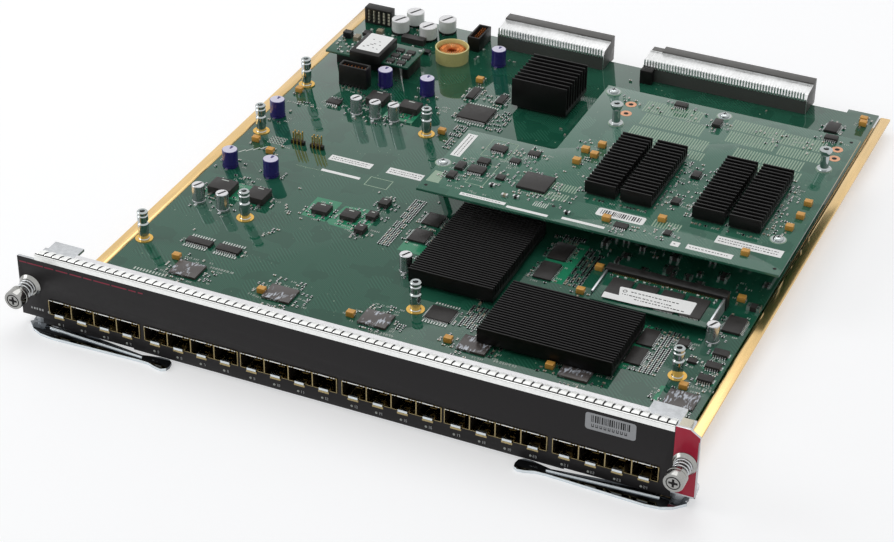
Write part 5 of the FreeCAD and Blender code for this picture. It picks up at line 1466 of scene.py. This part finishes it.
class LINECARD_OT_power_corner(bpy.types.Operator):
    """Fit the converter, its raised board, the headers and the rear comb"""

    bl_idname = "linecard.power_corner"
    bl_label = "Power corner"

    def execute(self, context):
        draw = random.Random(31)
        parts = Shapes()
        board = span("main_board")[1].z
        low, high = span("power_brick")
        raised = span("power_board")[1].z
        case_left, case_right = low.x + 14.5, low.x + 35.5
        ground = Ground("power_board", [], 1.2, [(case_left, case_right, low.y - 2, high.y + 2)])
        parts.slab(rounded((case_left + 2.6, case_right - 2.2), (low.y + 4.2, high.y - 2.4), 0.8),
                   (high.z, high.z + PRINT * 2), PAPER)
        for step in range(9):
            x, y = draw.uniform(case_left + 5, case_right - 6), draw.uniform(low.y + 7, high.y - 6)
            parts.box((x, x + draw.uniform(0.8, 2.4)), (y, y + 0.6), film(high.z, 2), PRINTED)
        for column in range(2):
            for row in range(3):
                x, y = case_right + 4.6 + column * 7.6, low.y + 8.0 + row * 7.6
                if ground.free(x, y, 3.0, 2.4):
                    parts.block(x, y, raised, (5.2, 3.8, 1.5), EPOXY)
                    gull_wings(parts, Vector((x - 2.6, y - 1.9, raised)),
                               Vector((x + 2.6, y + 1.9, raised + 1.5)),
                               raised, 1.2, "ns", 0.6, 0.9)
        parts.block(case_left - 14, high.y - 3.5, raised, (5.5, 4.5, 4.2), BLACK)
        parts.block(case_left - 7, high.y - 4.5, raised, (3.6, 5.5, 3.0), TAN)
        for x, y in spots(draw, ground, (low.x - 4, low.x + 54), (low.y + 5, high.y + 4), 95, 1.1, 0.9):
            chip_part(parts, x, y, raised, (2.0, 1.2, 0.8), draw.random() < 0.5,
                      draw.choice((BLACK, TAN, INK, TAN)))
        parts.block(-132, 376.5, board, (16, 5.5, 4.0), EPOXY)
        gull_wings(parts, Vector((-140, 373.75, board)), Vector((-124, 379.25, board + 4)), board, 1.6, "n",
                   0.8, 1.4)
        for x, y, size in ((-157, 366, (6, 4, 3)), (-150, 369, (4, 3, 2)), (-164, 372, (5, 5, 3)),
                           (-146, 363, (5, 3, 2.4)),
                           (-168, 362, (4, 6, 3)), (-118, 366, (5, 4, 2.2)), (-158, 379, (4, 4, 2.5))):
            parts.block(x, y, board, size, draw.choice((BLACK, EPOXY, TAN)))
        corner = Ground("main_board", ["filter_capacitors", "choke_case", "rear_power_connector",
                                       "power_brick",
                                       "purple_capacitors"],
                        taken=[(-172, -112, 320, 356), (-141, -123, 372, 380)])
        for x, y in spots(draw, corner, (-172, -82), (354, 399), 90, 1.2, 1.0):
            chip_part(parts, x, y, board, (2.2, 1.2, 0.8), draw.random() < 0.5,
                      draw.choice((BLACK, TAN, INK)))
        parts.made("power_corner_parts", KIT)
        self.header_pins(board)
        self.comb()
        return {"FINISHED"}

    def header_pins(self, board):
        """Square copper-coloured pins inside the shrouded headers, and their feet in front."""
        pins = Shapes()
        for x, y, low, high in centres("shrouded_headers"):
            along_y = high.y - low.y > high.x - low.x
            length = (high.y - low.y if along_y else high.x - low.x) - 5
            count = int(length / 2.3)
            for pin in range(count + 1):
                off = -length / 2 + pin * length / count
                for row in (-0.8, 0.8):
                    px, py = (x + row, y + off) if along_y else (x + off, y + row)
                    pins.spike(px, py, ((0.34, high.z - 7.5), (0.34, high.z - 1.6), (0.14, high.z - 1.1)))
                if not along_y:
                    pins.box((x + off - 0.35, x + off + 0.35), (low.y - 1.7, low.y), (board, board + 0.5), 1)
        pins.made("header_blades", ["copper_wire", "solder"])

    def comb(self):
        """Pale insulators between the blades of the rear comb."""
        low, high = span("rear_power_connector")
        inner = Shapes()
        count = 5
        step = (high.x - low.x) / count
        for slot in range(count):
            x = low.x + (slot + 0.5) * step
            for row in range(4):
                z = low.z + 1.4 + row * (high.z - low.z - 2) / 4
                inner.box((x - step * 0.3, x + step * 0.3), (low.y + 0.3, high.y - 0.3), (z, z + 1.6))
        inner.made("comb_insulators", ["ivory"])


class LINECARD_OT_memory(bpy.types.Operator):
    """Fit the memory module's label, small parts and edge contacts"""

    bl_idname = "linecard.memory"
    bl_label = "Memory module"

    def execute(self, context):
        draw = random.Random(37)
        low, high = span("memory_module")
        chip_top = span("memory_chips")[1].z
        parts = Shapes()
        outline = [(94.2, 138.1), (94.5, 132.6), (114.1, 133.0), (145.0, 136.1), (144.8, 148.2),
                   (143.9, 148.8),
                   (101.4, 146.6), (100.6, 145.9), (102.8, 137.9)]
        parts.slab(outline, (chip_top, chip_top + PRINT * 2), PAPER)
        parts.ring(104.6, 143.2, film(chip_top, 2), 0.9, 1.3, 20, PRINTED)
        for row, (start, end, y) in enumerate(((108, 136, 143.4), (104, 132, 139.6), (112, 140, 136.9))):
            for dash in dashes(draw, start, end, (0.5, 1.8), (0.4, 1.1)):
                parts.box(dash, (y + row * 0.1, y + 0.7 + row * 0.1), film(chip_top, 2), PRINTED)
        ground = Ground("memory_module", ["memory_chips"], 0.9)
        for x, y in spots(draw, ground, (low.x + 1, high.x - 1), (high.y - 9, high.y - 3.2), 70, 1.0, 0.7):
            chip_part(parts, x, y, high.z, (1.6, 0.9, 0.5), draw.random() < 0.3,
                      draw.choice((BLACK, TAN, INK)))
        for a, b in islands("memory_chips"):
            gull_wings(parts, a, b, high.z, 0.8, "ns", 0.4, 0.7)
        count = 60
        for contact in range(count):
            x = low.x + 3 + (high.x - low.x - 6) * contact / (count - 1)
            parts.box((x - 0.3, x + 0.3), (high.y - 2.4, high.y - 0.4), (high.z, high.z + 0.03), GOLD)
        parts.made("memory_parts", KIT)
        return {"FINISHED"}


class LINECARD_OT_backplane(bpy.types.Operator):
    """Rib the backplane connectors' shields, darken their lower fronts with painted reflection and mark their
    contact cells in dark sheet as painted shade
    """

    bl_idname = "linecard.backplane"
    bl_label = "Backplane connectors"

    def execute(self, context):
        parts = Shapes()
        METAL, PAINTED_REFLECTION, CELL_SHADE = range(3)
        pitch_x, pitch_z = 2.0, 2.1
        board = span("main_board")[1].z
        for low, high in islands("backplane_shields"):
            # a dark sheet over the shield's lower front: painted reflection of the dark boards in front of it
            parts.box((low.x + 0.2, high.x - 0.2), (low.y - 0.15, low.y + 0.1),
                      (board + 0.05, high.z - 5.2), PAINTED_REFLECTION)
            for place in paces(low.x + 0.6, high.x - 1, 1.9):
                rib = (place, place + 0.9)
                parts.box(rib, (low.y - 0.3, low.y + 0.6), (high.z - 5.6, high.z - 0.3), METAL)
                parts.box(rib, (low.y - 0.05, low.y + 3.0), (high.z - 0.1, high.z + 0.12), METAL)
            parts.box((low.x, high.x), (high.y - 0.5, high.y + 0.05), (high.z, high.z + 0.25), METAL)
        for middle, _, low, high in centres("backplane_housings"):
            columns = int((high.x - low.x - 4) / pitch_x)
            if columns < 8:  # the narrow housings show no contacts
                continue
            for column in range(columns):
                for row in range(6):
                    x = middle + (column - (columns - 1) / 2) * pitch_x
                    z = low.z + 2.2 + row * pitch_z
                    # dark cells: painted shade of the contact holes
                    parts.box((x - 0.55, x + 0.55), (high.y - 0.02, high.y + 0.005), (z, z + 1.3), CELL_SHADE)
        parts.made("backplane_ribs", ["shield_metal", "housing_grey", "recess_shade"])
        return {"FINISHED"}


OPERATORS = (LINECARD_OT_stage, LINECARD_OT_finishes, LINECARD_OT_edges, LINECARD_OT_panel_print,
             LINECARD_OT_ports,
             LINECARD_OT_gasket, LINECARD_OT_thumbscrews, LINECARD_OT_capacitors, LINECARD_OT_posts,
             LINECARD_OT_choke, LINECARD_OT_main_board_parts, LINECARD_OT_daughter_board_parts,
             LINECARD_OT_power_corner, LINECARD_OT_memory, LINECARD_OT_backplane)


class LINECARD_PT_panel(bpy.types.Panel):
    """The line card's settings and steps"""

    bl_idname = "LINECARD_PT_panel"
    bl_label = "Line Card"
    bl_space_type = "VIEW_3D"
    bl_region_type = "UI"
    bl_category = "Line Card"

    def draw(self, context):
        for group in (context.scene.linecard_stage, context.scene.linecard_colours):
            for name in group.__annotations__:
                self.layout.prop(group, name)
        for operator in OPERATORS:
            self.layout.operator(operator.bl_idname)


CLASSES = (LineCardStage, LineCardColours, *OPERATORS, LINECARD_PT_panel)


def register():
    for cls in CLASSES:
        bpy.utils.register_class(cls)
    bpy.types.Scene.linecard_stage = PointerProperty(type=LineCardStage)
    bpy.types.Scene.linecard_colours = PointerProperty(type=LineCardColours)


def unregister():
    del bpy.types.Scene.linecard_colours
    del bpy.types.Scene.linecard_stage
    for cls in reversed(CLASSES):
        bpy.utils.unregister_class(cls)


def main():
    register()
    for operator in OPERATORS:
        getattr(bpy.ops.linecard, operator.bl_idname.split(".")[1])()
    boxes = {"cad": CAD_BOX, "visual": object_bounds()}
    {name: [list(corner) for corner in box] for name, box in boxes.items()}


if __name__ == "__main__":
    main()
